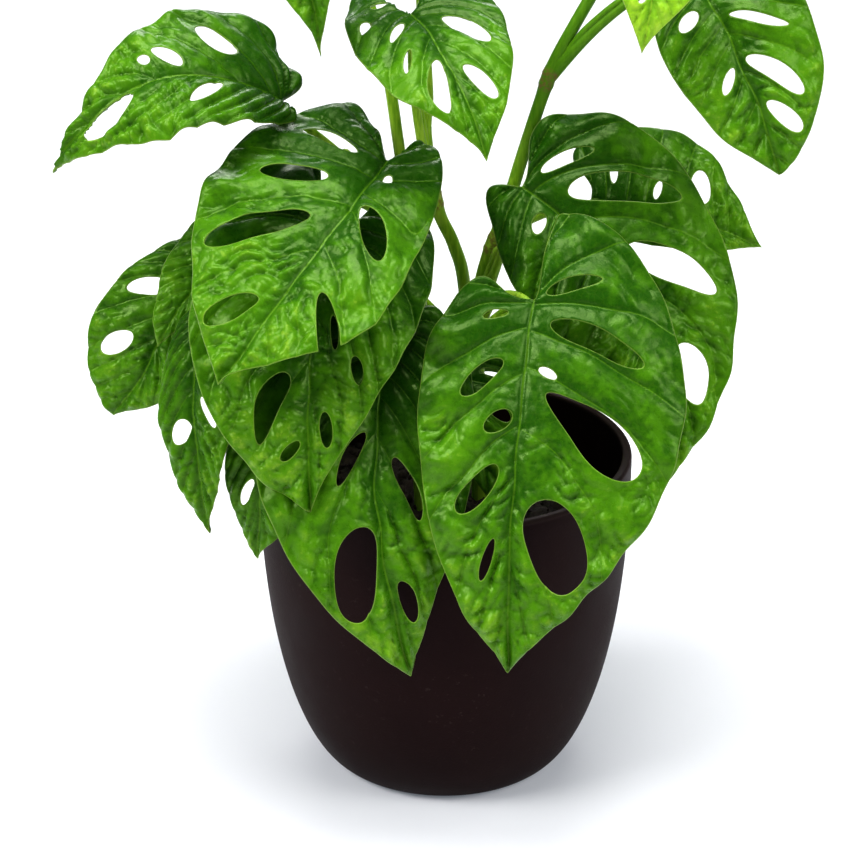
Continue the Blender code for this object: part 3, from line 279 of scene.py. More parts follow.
          Hole(0.60, 0.67, 0.18, 0.70, 7.2), Hole(0.76, 0.82, 0.22, 0.60, 4.6)),
         "vine_back", (7, 33, 136), (8, 60, 158)),
    Leaf("leaf_inner", (6, -14, 170), (15, -44, 126), (0.1, -0.85, 0.5), 5, 0.0, 0.10,
         Half(0.26, 0.25, 0.12, 1.05, 0.18, 0.95), Half(0.40, 0.30, 0.14, 1.20, 0.18, 0.95),
         (Hole(0.50, 0.55, 0.24, 0.62, 2.8),),
         (Hole(0.42, 0.46, 0.22, 0.62, 3.4), Hole(0.60, 0.66, 0.22, 0.66, 5.0)),
         "vine_right", (12, 3, 150), (8, -6, 172)),
)

print("leaves:", len(LEAVES), "with", sum(len(l.left_holes) + len(l.right_holes) for l in LEAVES), "holes")

# %% [markdown]
# ## The vines as a table
# Five vines come out of the soil. Each one is a route of points that it grows along, with its radius at
# the root and at its tip. Each ends in a new leaf that is still rolled up like a spear.

# %% Vines
Vine = namedtuple("Vine", "name route root_radius end_radius")

VINES = (
    Vine("vine_right", ((13, 3, 88), (13, 3, 106), (12, 3, 150), (13, 3, 189), (19.5, 4.5, 211),
                        (24, 6, 225), (28.5, 8, 240), (34, 9, 258), (39, 9, 273), (46, 9, 287),
                        (57, 10, 307), (70, 12, 332), (80, 16, 360), (84, 20, 382)), 2.8, 0.5),
    Vine("vine_middle", ((3, 15, 88), (3, 15, 106), (9, 14, 150), (7, 10, 188), (3, 9, 204), (-3, 8, 219),
                         (-7, 7, 246), (-6.5, 9, 261), (-8, 14, 285), (-9, 16, 305), (-10, 18, 330),
                         (-13, 20, 352)), 2.7, 0.5),
    Vine("vine_left", ((-11, 18, 88), (-11, 18, 106), (-8, 18, 150), (-10, 14, 190), (-14, 10, 220),
                       (-17, 9, 243), (-21, 11, 270), (-27, 15, 292), (-36, 14, 317), (-46, 12, 340),
                       (-54, 12, 362), (-58, 14, 375)), 2.5, 0.5),
    Vine("vine_low", ((-9, -9, 88), (-9, -9, 106), (-10, -6, 128), (-9, -8, 150), (-7, -9, 168),
                      (-7, -10, 184)), 2.5, 0.6),
    Vine("vine_back", ((6, 34, 88), (6, 34, 106), (7, 33, 132), (9, 33, 154), (12, 33, 172)), 2.3, 0.6),
)
print("vines:", [vine.name for vine in VINES])

# %% [markdown]
# ## The outline of half a leaf
# A leaf of this plant is a heart with a drawn-out tip. The petiole joins at the notch, and the midrib runs
# to the tip. The two halves are seldom alike, so each has an outline of its own: an oval arc from the
# notch to the widest place, then a long falling curve to the tip. A curve drawn by hand would do as
# well, but each leaf would need its own drawing, and this formula needs six numbers.

# %% Outline of one half
Edge = namedtuple("Edge", "x y along lobe length")
ARC_POINTS = 240
ARC_CROWDING = 1.3
TIP_PINCH = 0.45
TIP_PINCH_POWER = 14


def half_edge(length, half):
    """Edge points of one half from notch to tip, each with its share of the way along the edge."""
    width, widest, lobe = half.width * length, half.widest * length, half.lobe * length
    turn = np.linspace(0, 1, ARC_POINTS) ** ARC_CROWDING * math.pi / 2
    x = width * np.sin(turn) ** half.square
    y = widest - (widest + lobe) * np.cos(turn) + lobe * np.exp(-((turn / half.notch) ** 2))
    u = np.linspace(0, 1, ARC_POINTS + 1)[1:]
    fall = width * (1 - u) ** half.taper * (1 + half.taper * u)
    x = np.append(x, fall * (1 - TIP_PINCH * u**TIP_PINCH_POWER))
    y = np.append(y, widest + (length - widest) * u)
    along = np.append(0, np.cumsum(np.hypot(np.diff(x), np.diff(y))))
    return Edge(x, y, along / along[-1], lobe, along[-1])


trial = half_edge(100, LEAVES[0].right)
print("half of a 100 mm leaf:", round(trial.x.max()), "mm wide with", round(trial.length), "mm of edge")

# %% [markdown]
# ## Where the side veins run
# On the real leaf a side vein passes between each two holes, because the holes open in the soft tissue
# between the veins. So the veins are placed from the holes: one between each two neighbours, one beside
# each end of a wide gap, and evenly spaced where a half has no holes.

# %% Places of the side veins
PLAIN_VEINS = (0.05, 0.96, 9)
SMALL_GAP, WIDE_GAP = 0.05, 0.2
BESIDE_HOLE = 0.06
VEIN_LIMITS = (0.04, 0.97)
STEP_TO_NOTCH, STEP_TO_TIP = 0.095, 0.075


def vein_marks(holes):
    """Where the main side veins of one half run, numbered from 0 at the notch to 1 at the tip."""
    middles = sorted((hole.vein_in + hole.vein_out) / 2 for hole in holes)
    if not middles:
        return np.linspace(*PLAIN_VEINS)
    pairs = list(zip(middles, middles[1:]))
    marks = [(a + b) / 2 for a, b in pairs if SMALL_GAP < b - a < WIDE_GAP]
    for a, b in pairs:
        if b - a >= WIDE_GAP:
            marks += list(np.linspace(a + BESIDE_HOLE, b - BESIDE_HOLE, 2 + round((b - a - WIDE_GAP) / 0.1)))
    marks += list(np.arange(middles[0] - BESIDE_HOLE, VEIN_LIMITS[0], -STEP_TO_NOTCH))
    marks += list(np.arange(middles[-1] + BESIDE_HOLE, VEIN_LIMITS[1], STEP_TO_TIP))
    return np.array(sorted(marks))


print("side veins of the front leaf's right half:", len(vein_marks(LEAVES[0].right_holes)))

# %% [markdown]
# ## One object for each blade
# The cells that follow need the same measures of a leaf again and again: its length, its edges, its veins
# and the directions that it hangs in. A small class works them out once. The length is a little more
# than the straight way from base to tip, because the midrib is bowed.

# %% Measures of a blade
class Blade:
    """One leaf's length, edges, holes and veins, and the directions that it hangs in."""

    def __init__(self, leaf):
        self.leaf = leaf
        self.base = np.array(leaf.base, float)
        along = np.array(leaf.tip, float) - self.base
        self.chord = float(np.linalg.norm(along))
        self.ahead = along / self.chord
        face = np.array(leaf.face, float)
        self.up = unit(face - (face @ self.ahead) * self.ahead)
        self.across = np.cross(self.up, self.ahead)
        bow = math.hypot(leaf.sag, leaf.sway)
        self.length = self.chord * (1 + 8 / 3 * (bow / self.chord) ** 2)
        self.edges = {-1: half_edge(self.length, leaf.left), 1: half_edge(self.length, leaf.right)}
        self.holes = {-1: leaf.left_holes, 1: leaf.right_holes}
        self.veins = {side: vein_marks(self.holes[side]) for side in (-1, 1)}
        self.seed = sum(ord(c) * (i + 3) for i, c in enumerate(leaf.name))


blades = {leaf.name: Blade(leaf) for leaf in LEAVES}
print("leaf lengths in mm:", {name: round(blade.length) for name, blade in blades.items()})

# %% [markdown]
# ## Vein coordinates
# A side vein leaves the midrib and curves towards the tip as it nears the edge. The holes, the quilting
# and the pale lines all follow these veins, so a place on the leaf is told in the leaf's own terms:
# `vein` says where its vein meets the edge, and `share` says how far out along that vein it is. Each
# vein is a curve with one bend, a quadratic Bezier. Going back from a flat point to its vein has no
# closed formula, so a few steps of Newton's method find it.

# %% Vein coordinates to flat points and back
VEIN_CROWDING = 1.9
VEIN_BEND_OUT, VEIN_BEND_AHEAD = 0.55, 0.36
NEWTON_STEPS = 6


def flat_point(blade, side, vein, share):
    """The flat point at a share of the way out along a vein, on the side -1 or 1."""
    edge = blade.edges[side]
    x, y = np.interp(vein, edge.along, edge.x), np.interp(vein, edge.along, edge.y)
    origin = blade.length * np.clip((y + edge.lobe) / (blade.length + edge.lobe), 0, 1) ** VEIN_CROWDING
    bend_x, bend_y = VEIN_BEND_OUT * x, origin + VEIN_BEND_AHEAD * (y - origin)
    inner, middle, outer = (1 - share) ** 2, 2 * share * (1 - share), share**2
    flat_x = side * (middle * bend_x + outer * x)
    return np.stack([flat_x, inner * origin + middle * bend_y + outer * y], -1)


def cross(a, b):
    """The signed area between pairs of flat arrows."""
    return a[:, 0] * b[:, 1] - a[:, 1] * b[:, 0]


def vein_place(blade, side, points, vein, share):
    """The vein coordinates of flat points, from a first guess."""
    step = 1e-4
    for _ in range(NEWTON_STEPS):
        here = flat_point(blade, side, vein, share)
        by_vein = (flat_point(blade, side, vein + step, share) - here) / step
        by_share = (flat_point(blade, side, vein, share + step) - here) / step
        miss, turn = points - here, cross(by_vein, by_share)
        turn = np.where(np.abs(turn) < 1e-3, 1e-3, turn)
        vein = np.clip(vein + np.clip(cross(miss, by_share) / turn, -0.1, 0.1), 0, 1)
        share = np.clip(share + np.clip(cross(by_vein, miss) / turn, -0.2, 0.2), 0.0, 1.4)
    return vein, share


front = blades["leaf_front_right"]
print("middle of the front leaf's right half:", flat_point(front, 1, 0.5, 0.5).round(1), "mm")

# %% [markdown]
# ## A hole
# A hole is a long oval between two side veins, often with its fat end outwards. It is drawn as an oval
# that is bent along the line between its two ends, so it follows the veins by itself. A straight
# ellipse would cross them and look punched.

# %% Rings of the holes
FEWEST_RING_POINTS = 24


def hole_ring(blade, side, hole):
    """An oval round the line between the hole's two ends, with each point's vein coordinates."""
    ends = [flat_point(blade, side, vein, share)
            for vein, share in ((hole.vein_in, hole.inner), (hole.vein_out, hole.outer))]
    count = max(FEWEST_RING_POINTS, round((2 * math.dist(*ends) + hole.width) / FINE))
    turn = np.linspace(0, 2 * math.pi, count, endpoint=False)
    along = (1 - np.cos(turn)) / 2
    drift, reach = hole.vein_out - hole.vein_in, hole.outer - hole.inner
    vein, share = hole.vein_in + drift * along, hole.inner + reach * along
    centre = flat_point(blade, side, vein, share)
    run = unit(flat_point(blade, side, vein + 1e-3 * drift, share + 1e-3 * reach) - centre)
    off = np.sin(turn) * hole.width / 2 * (1 + hole.egg * (2 * along - 1))
    ring = centre + np.column_stack([-run[:, 1], run[:, 0]]) * off[:, None]
    return ring, *vein_place(blade, side, ring, vein, share)


sizes = [np.ptp(hole_ring(front, 1, hole)[0], axis=0) for hole in front.holes[1]]
print("holes of the front leaf's right half, across and along in mm:", np.round(sizes).astype(int).tolist())

# %% [markdown]
# ## Numbers between the veins
# For the quilting each point needs to know how far it is from the next vein on either side. A number
# that is whole on every main vein, and runs evenly between two of them, says this. The veins lean with
# the holes beside them, so the number leans too.

# %% Number of a place between the veins
LEAST_LEAN, MOST_LEAN = -0.2, 0.35
LEAN_AT_NOTCH = 0.1


def vein_number(blade, side, vein, share):
    """A number that is whole on each main side vein and runs evenly between two of them."""
    holes = sorted(blade.holes[side], key=lambda hole: hole.vein_in + hole.vein_out)
    if holes:
        middles = [(hole.vein_in + hole.vein_out) / 2 for hole in holes]
        leans = [(h.vein_out - h.vein_in) / (h.outer - h.inner) for h in holes]
        leans = [np.clip(lean, LEAST_LEAN, MOST_LEAN) for lean in leans]
        lean = np.interp(vein, [0.0] + middles + [1.0], [LEAN_AT_NOTCH] + leans + [0.0])
    else:
        lean = LEAN_AT_NOTCH * (1 - vein)
    marks = blade.veins[side]
    numbers = np.arange(len(marks), dtype=float)
    marks = np.concatenate([[marks[0] - 0.1], marks, [marks[-1] + 0.08]])
    numbers = np.concatenate([[-1.0], numbers, [len(numbers)]])
    return np.interp(vein - lean * (share - 0.5), marks, numbers)


print("vein number in the middle of that half:", round(float(vein_number(front, 1, 0.5, 0.5)), 2))

# %% [markdown]
# ## The curved leaf
# The flat leaf is hung in space last. Its midrib is a bowed line from base to tip, and its two halves bend
# down from it. Keeping the leaf flat until now means that no hole or vein needs to know about the bow.

# %% From flat to curved
CURL_REFERENCE = 0.35


def frame_at(blade, y):
    """The midrib's point, and its ahead, across and up directions, at y along it."""
    k = (np.asarray(y, float) / blade.length)[..., None]
    bow = blade.leaf.sag * blade.up + blade.leaf.sway * blade.across
    point = blade.base + blade.ahead * blade.chord * k + 4 * k * (1 - k) * bow
    ahead = unit(blade.ahead * blade.chord + 4 * (1 - 2 * k) * bow)
    up = unit(blade.up - (ahead @ blade.up)[..., None] * ahead)
    return point, ahead, np.cross(up, ahead), up


def lift(blade, flat, offset):
    """Flat points placed in the leaf's curved surface, offset millimetres above it."""
    x, y = flat[:, 0], flat[:, 1]
    point, _, across, up = frame_at(blade, y)
    height = offset - blade.leaf.curl * x * x / (CURL_REFERENCE * blade.length)
    return point + x[:, None] * across + height[:, None] * up


print("the front leaf's tip is at", lift(front, np.array([[0, front.length]]), np.zeros(1))[0].round(1), "mm")

# %% [markdown]
# ## Inside, and nearest
# Two questions come up for thousands of points: does a point lie inside a ring, and how far off is the
# nearest point of a set? The first counts how often a line from the point crosses the ring. The second
# uses Blender's own k-d tree, which answers at once where comparing all pairs would take minutes.

# %% Inside a ring, and nearest point
def inside(points, ring):
    """Which points lie inside a closed ring."""
    low, high = ring.min(axis=0), ring.max(axis=0)
    near = np.flatnonzero(((points >= low) & (points <= high)).all(axis=1))
    x, y = points[near, 0], points[near, 1]
    found = np.zeros(len(near), bool)
    for (ax, ay), (bx, by) in zip(ring, np.roll(ring, -1, axis=0)):
        if ay != by:
            found ^= ((ay > y) != (by > y)) & (x < (bx - ax) * (y - ay) / (by - ay) + ax)
    result = np.zeros(len(points), bool)
    result[near] = found
    return result


def in_blade(points, outline, rings):
    """Which points lie inside the outline and in none of the holes."""
    keep = inside(points, outline)
    for ring in rings:
        keep &= ~inside(points, ring)
    return keep


def nearest(points, targets):
    """For each point the index of the nearest target and the distance to it."""
    tree = KDTree(len(targets))
    for i, target in enumerate(targets):
        tree.insert((target[0], target[1], target[2] if len(target) > 2 else 0.0), i)
    tree.balance()
    found = [tree.find((p[0], p[1], p[2] if len(p) > 2 else 0.0)) for p in points]
    return np.array([f[1] for f in found]), np.array([f[2] for f in found])


corner_to_middle = nearest(np.zeros((1, 2)), np.array([[3.0, 4.0]]))[1][0]
print("a point 3 mm across and 4 mm ahead is", corner_to_middle, "mm away")

# %% [markdown]
# ## Lines that the mesh must keep
# The blade needs clean edges round every hole. A grid with holes cut out of it would leave ragged edges,
# and Boolean cuts on a dense sheet are slow. Instead the outline, the rings of the holes and the
# midrib are laid down first, as rows of points with edges that must stay.

# %% Outline, holes and midrib
def fixed_points(blade):
    """Rows of x, y, side, vein and share, the edges that must stay, the outline and the holes' rings."""
    rows, edges = [], []

    def add_ring(flat, side, vein, share):
        start, count = sum(len(r) for r in rows), len(flat)
        rows.append(np.column_stack([flat, np.broadcast_to(side, count), vein, share]))
        edges.extend((start + i, start + (i + 1) % count) for i in range(count))
        return flat

    veins = {s: np.linspace(0, 1, round(blade.edges[s].length / FINE) + 1)[1:-1] for s in (1, -1)}
    right, left = (flat_point(blade, s, veins[s], np.ones_like(veins[s])) for s in (1, -1))
    outline = np.vstack([[[0.0, 0.0]], right, [[0.0, blade.length]], left[::-1]])
    side = np.concatenate([[0], np.ones(len(right)), [0], -np.ones(len(left))])
    add_ring(outline, side, np.concatenate([[0], veins[1], [1], veins[-1][::-1]]), np.ones(len(outline)))
    rings = []
    for side in (-1, 1):
        for hole in blade.holes[side]:
            ring, vein, share = hole_ring(blade, side, hole)
            rings.append(add_ring(ring, side, vein, share))
    rib_y = np.linspace(0, blade.length, round(blade.length / FINE) + 1)[1:-1]
    start, zeros, tip = sum(len(r) for r in rows), np.zeros_like(rib_y), 1 + len(right)
    rows.append(np.column_stack([zeros, rib_y, zeros, rib_y / blade.length, zeros]))
    chain = [0] + list(range(start, start + len(rib_y))) + [tip]
    edges.extend(zip(chain, chain[1:]))
    return np.vstack(rows), edges, outline, rings


print("points on the front leaf's edges and midrib:", len(fixed_points(front)[0]))

# %% [markdown]
# ## Loose points between them
# The rest of the blade is filled with rows of points between the midrib and the edge, so that the quilting
# and the creases have something to move. The rows lie closer together where the veins crowd at the
# notch, so they are thinned there to one point in each small square.

# %% Rows of loose points
ROW_SAMPLES = np.linspace(0.002, 0.998, 1200)
FEWEST_ROWS = 4
ROWS_PER_WIDTH = 1.05
THINNING_SQUARE = 0.78
CLEAR_OF_RIB, CLEAR_OF_EDGE = 0.5, 0.6


def vein_rows(blade, side):
    """Points in rows between midrib and edge, about one spacing apart, with their coordinates."""
    rows = max(FEWEST_ROWS, round(ROWS_PER_WIDTH * np.abs(blade.edges[side].x).max() / FINE))
    found = []
    for row in range(1, rows):
        line = flat_point(blade, side, ROW_SAMPLES, np.full_like(ROW_SAMPLES, row / rows))
        along = way_along(line)
        count = max(2, round(along[-1] / FINE))
        shift = 0.5 * (row % 2)
        vein = np.interp((np.arange(count) + shift) / count * along[-1], along, ROW_SAMPLES)
        share = np.full_like(vein, row / rows)
        place = flat_point(blade, side, vein, share)
        found.append(np.column_stack([place, np.full(count, side), vein, share]))
    found = np.vstack(found)
    squares = np.floor(found[:, :2] / (THINNING_SQUARE * FINE))
    _, first = np.unique(squares, axis=0, return_index=True)
    return found[np.sort(first)]


def loose_points(blade, outline, rings):
    """The rows of both halves, clear of the midrib, the outline and the holes."""
    loose = np.vstack([vein_rows(blade, side) for side in (-1, 1)])
    loose = loose[np.abs(loose[:, 0]) > CLEAR_OF_RIB * FINE]
    off_edge = nearest(loose[:, :2], np.vstack([outline] + rings))[1]
    return loose[(off_edge > CLEAR_OF_EDGE * FINE) & in_blade(loose[:, :2], outline, rings)]


print("loose points in the front leaf's right half:", len(vein_rows(front, 1)))

# %% [markdown]
# ## Triangles for a leaf
# A constrained Delaunay triangulation joins all these points with triangles that are as even as they can
# be, and keeps the lines that were laid down first. It also fills the holes, so triangles whose middle
# lies in a hole are dropped afterwards, and all are turned to look the same way.

# %% Triangulate a blade
def triangulate(blade):
    """The flat blade: its points, the side, vein and share of each, and the triangles that join them."""
    fixed, edges, outline, rings = fixed_points(blade)
    data = np.vstack([fixed, loose_points(blade, outline, rings)])
    found, _, faces, origins, _, _ = delaunay_2d_cdt(data[:, :2].tolist(), edges, [], 0, 1e-5)
    found, faces = np.array([tuple(p) for p in found]), np.array([tuple(f) for f in faces])
    faces = faces[in_blade(found[faces].mean(axis=1), outline, rings)]
    a, b, c = found[faces[:, 0]], found[faces[:, 1]], found[faces[:, 2]]
    faces = np.where((cross(b - a, c - a) > 0)[:, None], faces[:, ::-1], faces)
    used, index = np.unique(faces, return_inverse=True)
    source = np.array([o[0] if o else -1 for o in origins])[used]
    if (source < 0).any():
        source[source < 0] = nearest(found[used][source < 0], data[:, :2])[0]
    return found[used], data[source, 2], data[source, 3], data[source, 4], index.reshape(-1, 3)


youngest = triangulate(blades["leaf_young_top"])
print("the youngest leaf has", len(youngest[0]), "flat points and", len(youngest[4]), "triangles")

# %% [markdown]
# ## A short way to write materials
# A material in Blender is a tree of nodes. Clicking the nodes together is quick once, but a script that
# adds and links each node takes many lines and hides the idea. This small class adds a node, fills its
# inputs with numbers or with other nodes' outputs, and returns its output, so that a finish below reads
# like a short recipe.

# %% A helper for node materials
class Recipe:
    """One node material with a Principled shader, built up by short calls."""

    def __init__(self, name):
        self.material = bpy.data.materials.new(name)
        self.material.use_nodes = True
        self.tree = self.material.node_tree
        self.tree.nodes.clear()
        self.shader = self.tree.nodes.new("ShaderNodeBsdfPrincipled")
        out = self.tree.nodes.new("ShaderNodeOutputMaterial")
        self.tree.links.new(self.shader.outputs["BSDF"], out.inputs["Surface"])

    def fill(self, socket, value):
        if isinstance(value, bpy.types.NodeSocket):
            self.tree.links.new(value, socket)
        else:
            socket.default_value = value

    def add(self, kind, values, output=0, **settings):
        node = self.tree.nodes.new("ShaderNode" + kind)
        for key, value in settings.items():
            setattr(node, key, value)
        for key, value in values.items():
            self.fill(node.inputs[key], value)
        return node.outputs[output]

    def attribute(self, name, output="Fac"):
        return self.add("Attribute", {}, output, attribute_name=name)

    def math(self, operation, *values):
        return self.add("Math", dict(enumerate(values)), operation=operation)

    def total(self, first, *others):
        for other in others:
            first = self.math("ADD", first, other)
        return first

    def noise(self, place, scale, detail=3.0, roughness=0.5):
        values = {"Vector": place, "Scale": scale, "Detail": detail, "Roughness": roughness}
        return self.add("TexNoise", values)

    def band(self, value, low, high, least=0.0, most=1.0):
        """0 below low and 1 above high with a soft step between, or the other way round if high is less."""
        values = {"Value": value, "From Min": low, "From Max": high, "To Min": least, "To Max": most}
        return self.add("MapRange", values, interpolation_type="SMOOTHSTEP")

    def mix(self, factor, a, b):
        """Colour b over colour a, by a factor."""
        return self.add("Mix", {0: factor, 6: a, 7: b}, 2, data_type="RGBA")

    def bump(self, height, distance):
        """A bump of a height that stands up by the distance, in metres."""
        return self.add("Bump", {"Height": height, "Distance": distance, "Strength": 1.0})

    def surface(self, **values):
        """Fills the shader's inputs: Base_Color stands for Base Color, and so on."""
        for key, value in values.items():
            self.fill(self.shader.inputs[key.replace("_", " ")], value)
        return self.material


print("shader inputs to fill:", len(Recipe("trial").shader.inputs))
bpy.data.materials.remove(bpy.data.materials["trial"])

# %% [markdown]
# ## How far from a vein
# The relief and the pale vein lines need the distance to the nearest vein in millimetres. The vein number
# gives it as a share of the way to the next vein, so it is scaled by the width of the field between the
# two, which is measured by moving a small step across.

# %% Distance to the veins
def vein_distance(blade, side, vein, share):
    """Each point's vein number, the width of its field in mm and the distance to its vein in mm."""
    number, reach = np.zeros(len(vein)), np.ones(len(vein))
    for s in (-1, 1):
        on = side == s if s < 0 else side >= 0
        v, q, step = vein[on], share[on], 1e-3
        here = vein_number(blade, s, v, q)
        over = vein_number(blade, s, np.clip(v + step, 0, 1.01), q)
        stepped = flat_point(blade, s, np.minimum(v + step, 1), q)
        moved = np.linalg.norm(stepped - flat_point(blade, s, v, q), axis=1)
        number[on], reach[on] = here, np.clip(moved / np.maximum(over - here, 1e-5), 0.5, 40)
    return number, reach, np.abs(number - np.round(number)) * reach


fields = vein_distance(front, np.ones(3), np.array([0.2, 0.5, 0.8]), np.full(3, 0.5))[1]
print("fields between the veins of the front leaf, in mm:", fields.round(1))

# %% [markdown]
# ## Puckers
# The lower half of an old leaf is crumpled: small blisters, and longer creases that lie along the side
# veins. A bump in the material would show neither at the edge of the leaf nor in its shadow, so the
# points themselves are moved. The creases are the blisters' wave field again, stretched along the veins.

# %% Blisters and creases
BLISTER_LENGTH, BLISTER_LENGTH_SHARE = 4.2, 0.022
CREASE_LENGTH, CREASE_STRETCH = 8.0, 0.45
CREASE_TURN = math.radians(55)
CREASE_BEND, CREASE_BEND_LENGTH = 1.2, 14
HALVES_APART = 300


def puckers(blade, flat, side):
    """The blister and the crease field of a blade, each about zero on average."""
    length = BLISTER_LENGTH + BLISTER_LENGTH_SHARE * blade.length
    blister = np.abs(waves(flat, length, blade.seed, 9)) ** 0.6 - 0.6
    out, ahead = np.abs(flat[:, 0]), flat[:, 1]
    with_veins = out * math.sin(CREASE_TURN) + ahead * math.cos(CREASE_TURN)
    over_veins = out * math.cos(CREASE_TURN) - ahead * math.sin(CREASE_TURN) + HALVES_APART * (side < 0)
    bend = CREASE_BEND * waves(flat, CREASE_BEND_LENGTH, blade.seed + 4, 5)
    spread = np.column_stack([over_veins + bend, CREASE_STRETCH * with_veins])
    crease = np.abs(waves(spread, CREASE_LENGTH, blade.seed + 9, 9)) ** 0.7 - 0.6
    return blister, crease


samples = np.column_stack([np.linspace(-30, 30, 400), np.linspace(0, 100, 400)])
fields = puckers(front, samples, np.sign(samples[:, 0]))
print("highest blister and crease, as shares:", [round(float(field.max()), 1) for field in fields])

# %% [markdown]
# ## Relief on a leaf
# A real blade isn't flat between its veins. It swells up between two side veins like a quilt, sinks along
# each vein, puckers more and more towards the tip, waves at its margin and folds a little along the
# midrib. The height is a sum of these simple terms, each of them easy to turn up or down.

# %% Heights over the flat blade
QUILT = 0.027
VEIN_GROOVE, GROOVE_WIDTH = 0.5, 0.9
BLISTER, CREASE = 0.8, 1.3
LEAST_PUCKER = 0.24
PATCH_SHIFT, PATCH_LENGTH = 0.16, 24
MARGIN_WAVE, MARGIN_WAVE_LENGTH = 1.3, 19
FOLD, FOLD_WIDTH = 1.8, 7.0
RIB_GROOVE = 0.35
EDGE_LIP, EDGE_LIP_WIDTH = 0.22, 1.6
GROWN_LENGTH = 90


def relief(blade, flat, side, vein, share, rim):
    """The height of the blade over its smooth surface, and the vein number, its field and its distance."""
    number, reach, vein_mm = vein_distance(blade, side, vein, share)
    across, size = np.abs(flat[:, 0]), blade.length
    between = np.sin(np.pi * (number - np.floor(number))) ** 0.8
    swell = QUILT * size * between * share**0.6 * (1 - 0.75 * np.clip(share, 0, 1) ** 3)
    groove = VEIN_GROOVE * np.exp(-((vein_mm / GROOVE_WIDTH) ** 2)) * (1 - 0.6 * share)
    blister, crease = puckers(blade, flat, side)
    patches = PATCH_SHIFT * waves(flat, PATCH_LENGTH, blade.seed + 1)
    old = LEAST_PUCKER + (1 - LEAST_PUCKER) * smooth_step(0.25, 0.75, flat[:, 1] / size + patches)
    calm = smooth_step(0.0, 2.4, rim) * smooth_step(0.4, 3.0, across)
    grown = min(1, size / GROWN_LENGTH)
    pucker = grown * old * calm * (BLISTER * blister + CREASE * crease)
    margin = MARGIN_WAVE * min(1.2, size / GROWN_LENGTH) * smooth_step(0.45, 1.0, share)
    margin = margin * waves(flat, MARGIN_WAVE_LENGTH, blade.seed + 2, 5)
    fold = FOLD * grown * (1 - np.exp(-across / FOLD_WIDTH) - 0.5)
    rib = RIB_GROOVE * np.exp(-((flat[:, 0] / 0.9) ** 2))
    lip = EDGE_LIP * (1 - smooth_step(0.0, EDGE_LIP_WIDTH, rim)) * (share < 0.97)
    height = swell - groove + pucker + margin + fold - rib + lip
    # crest is how high a point stands on the quilting and the puckers; the leaf's material paints it lighter
    # there as a painted highlight.
    crest = swell / (QUILT * size) + old * calm * (0.5 * blister + 0.9 * crease)
    return height, number, reach, vein_mm, crest


flat, side, vein, share, _ = youngest
height = relief(blades["leaf_young_top"], flat, side, vein, share, np.full(len(flat), 3.0))[0]
print("the youngest leaf's relief is", round(float(np.ptp(height)), 1), "mm from lowest to highest")

# %% [markdown]
# ## The edges of a thin solid
# The triangles are laid twice, for the upper side and the underside, half a millimetre apart. Along every
# edge, also round the holes, a middle row of points is pushed outwards so that the cut edge looks soft.
# A Solidify modifier would be less work, but it can't give the two sides a different relief.

# %% Close the edges
def edges_of(faces):
    """The directed edges that only one triangle uses."""
    edges = np.concatenate([faces[:, [0, 1]], faces[:, [1, 2]], faces[:, [2, 0]]])
    keys = np.sort(edges, axis=1)
    _, where, count = np.unique(keys, axis=0, return_inverse=True, return_counts=True)
    return edges[count[where.ravel()] == 1]


def outwards(flat, edges):
    """For each point on an edge, the flat direction that leads away from the blade."""
    start, end = flat[edges[:, 0]], flat[edges[:, 1]]
    away = np.column_stack([start[:, 1] - end[:, 1], end[:, 0] - start[:, 0]])
    out = np.zeros((len(flat), 2))
    for corner in (0, 1):
        np.add.at(out, edges[:, corner], away)
    return unit(out[np.unique(edges)] + 1e-9)


def skin(faces, edges, count):
    """The upper side, the underside turned over, and two strips of triangles along every edge."""
    rim = np.unique(edges)
    mid = np.zeros(count, int)
    mid[rim] = 2 * count + np.arange(len(rim))
    a, b = edges[:, 0], edges[:, 1]
    upper = [(b, a, mid[a]), (b, mid[a], mid[b])]
    lower = [(mid[b], mid[a], a + count), (mid[b], a + count, b + count)]
    strips = upper + lower
    return np.vstack([faces, faces[:, ::-1] + count] + [np.column_stack(s) for s in strips])


print("edge points of the youngest leaf:", len(np.unique(edges_of(youngest[4]))))

# %% [markdown]
# ## The blade as a thin solid
# The midrib and the side veins stand out on the underside, as they do on the plant. Each point also
# carries values that the leaf's material reads: how far it is from an edge, which vein is near, and
# whether it is on the underside.

# %% Build a blade
BLADE_THICKNESS = 0.5
EDGE_ROUND = 0.2
WARP, WARP_LENGTH = 0.45, 24
RIB_HEIGHT, VEIN_HEIGHT = 0.95, 0.28


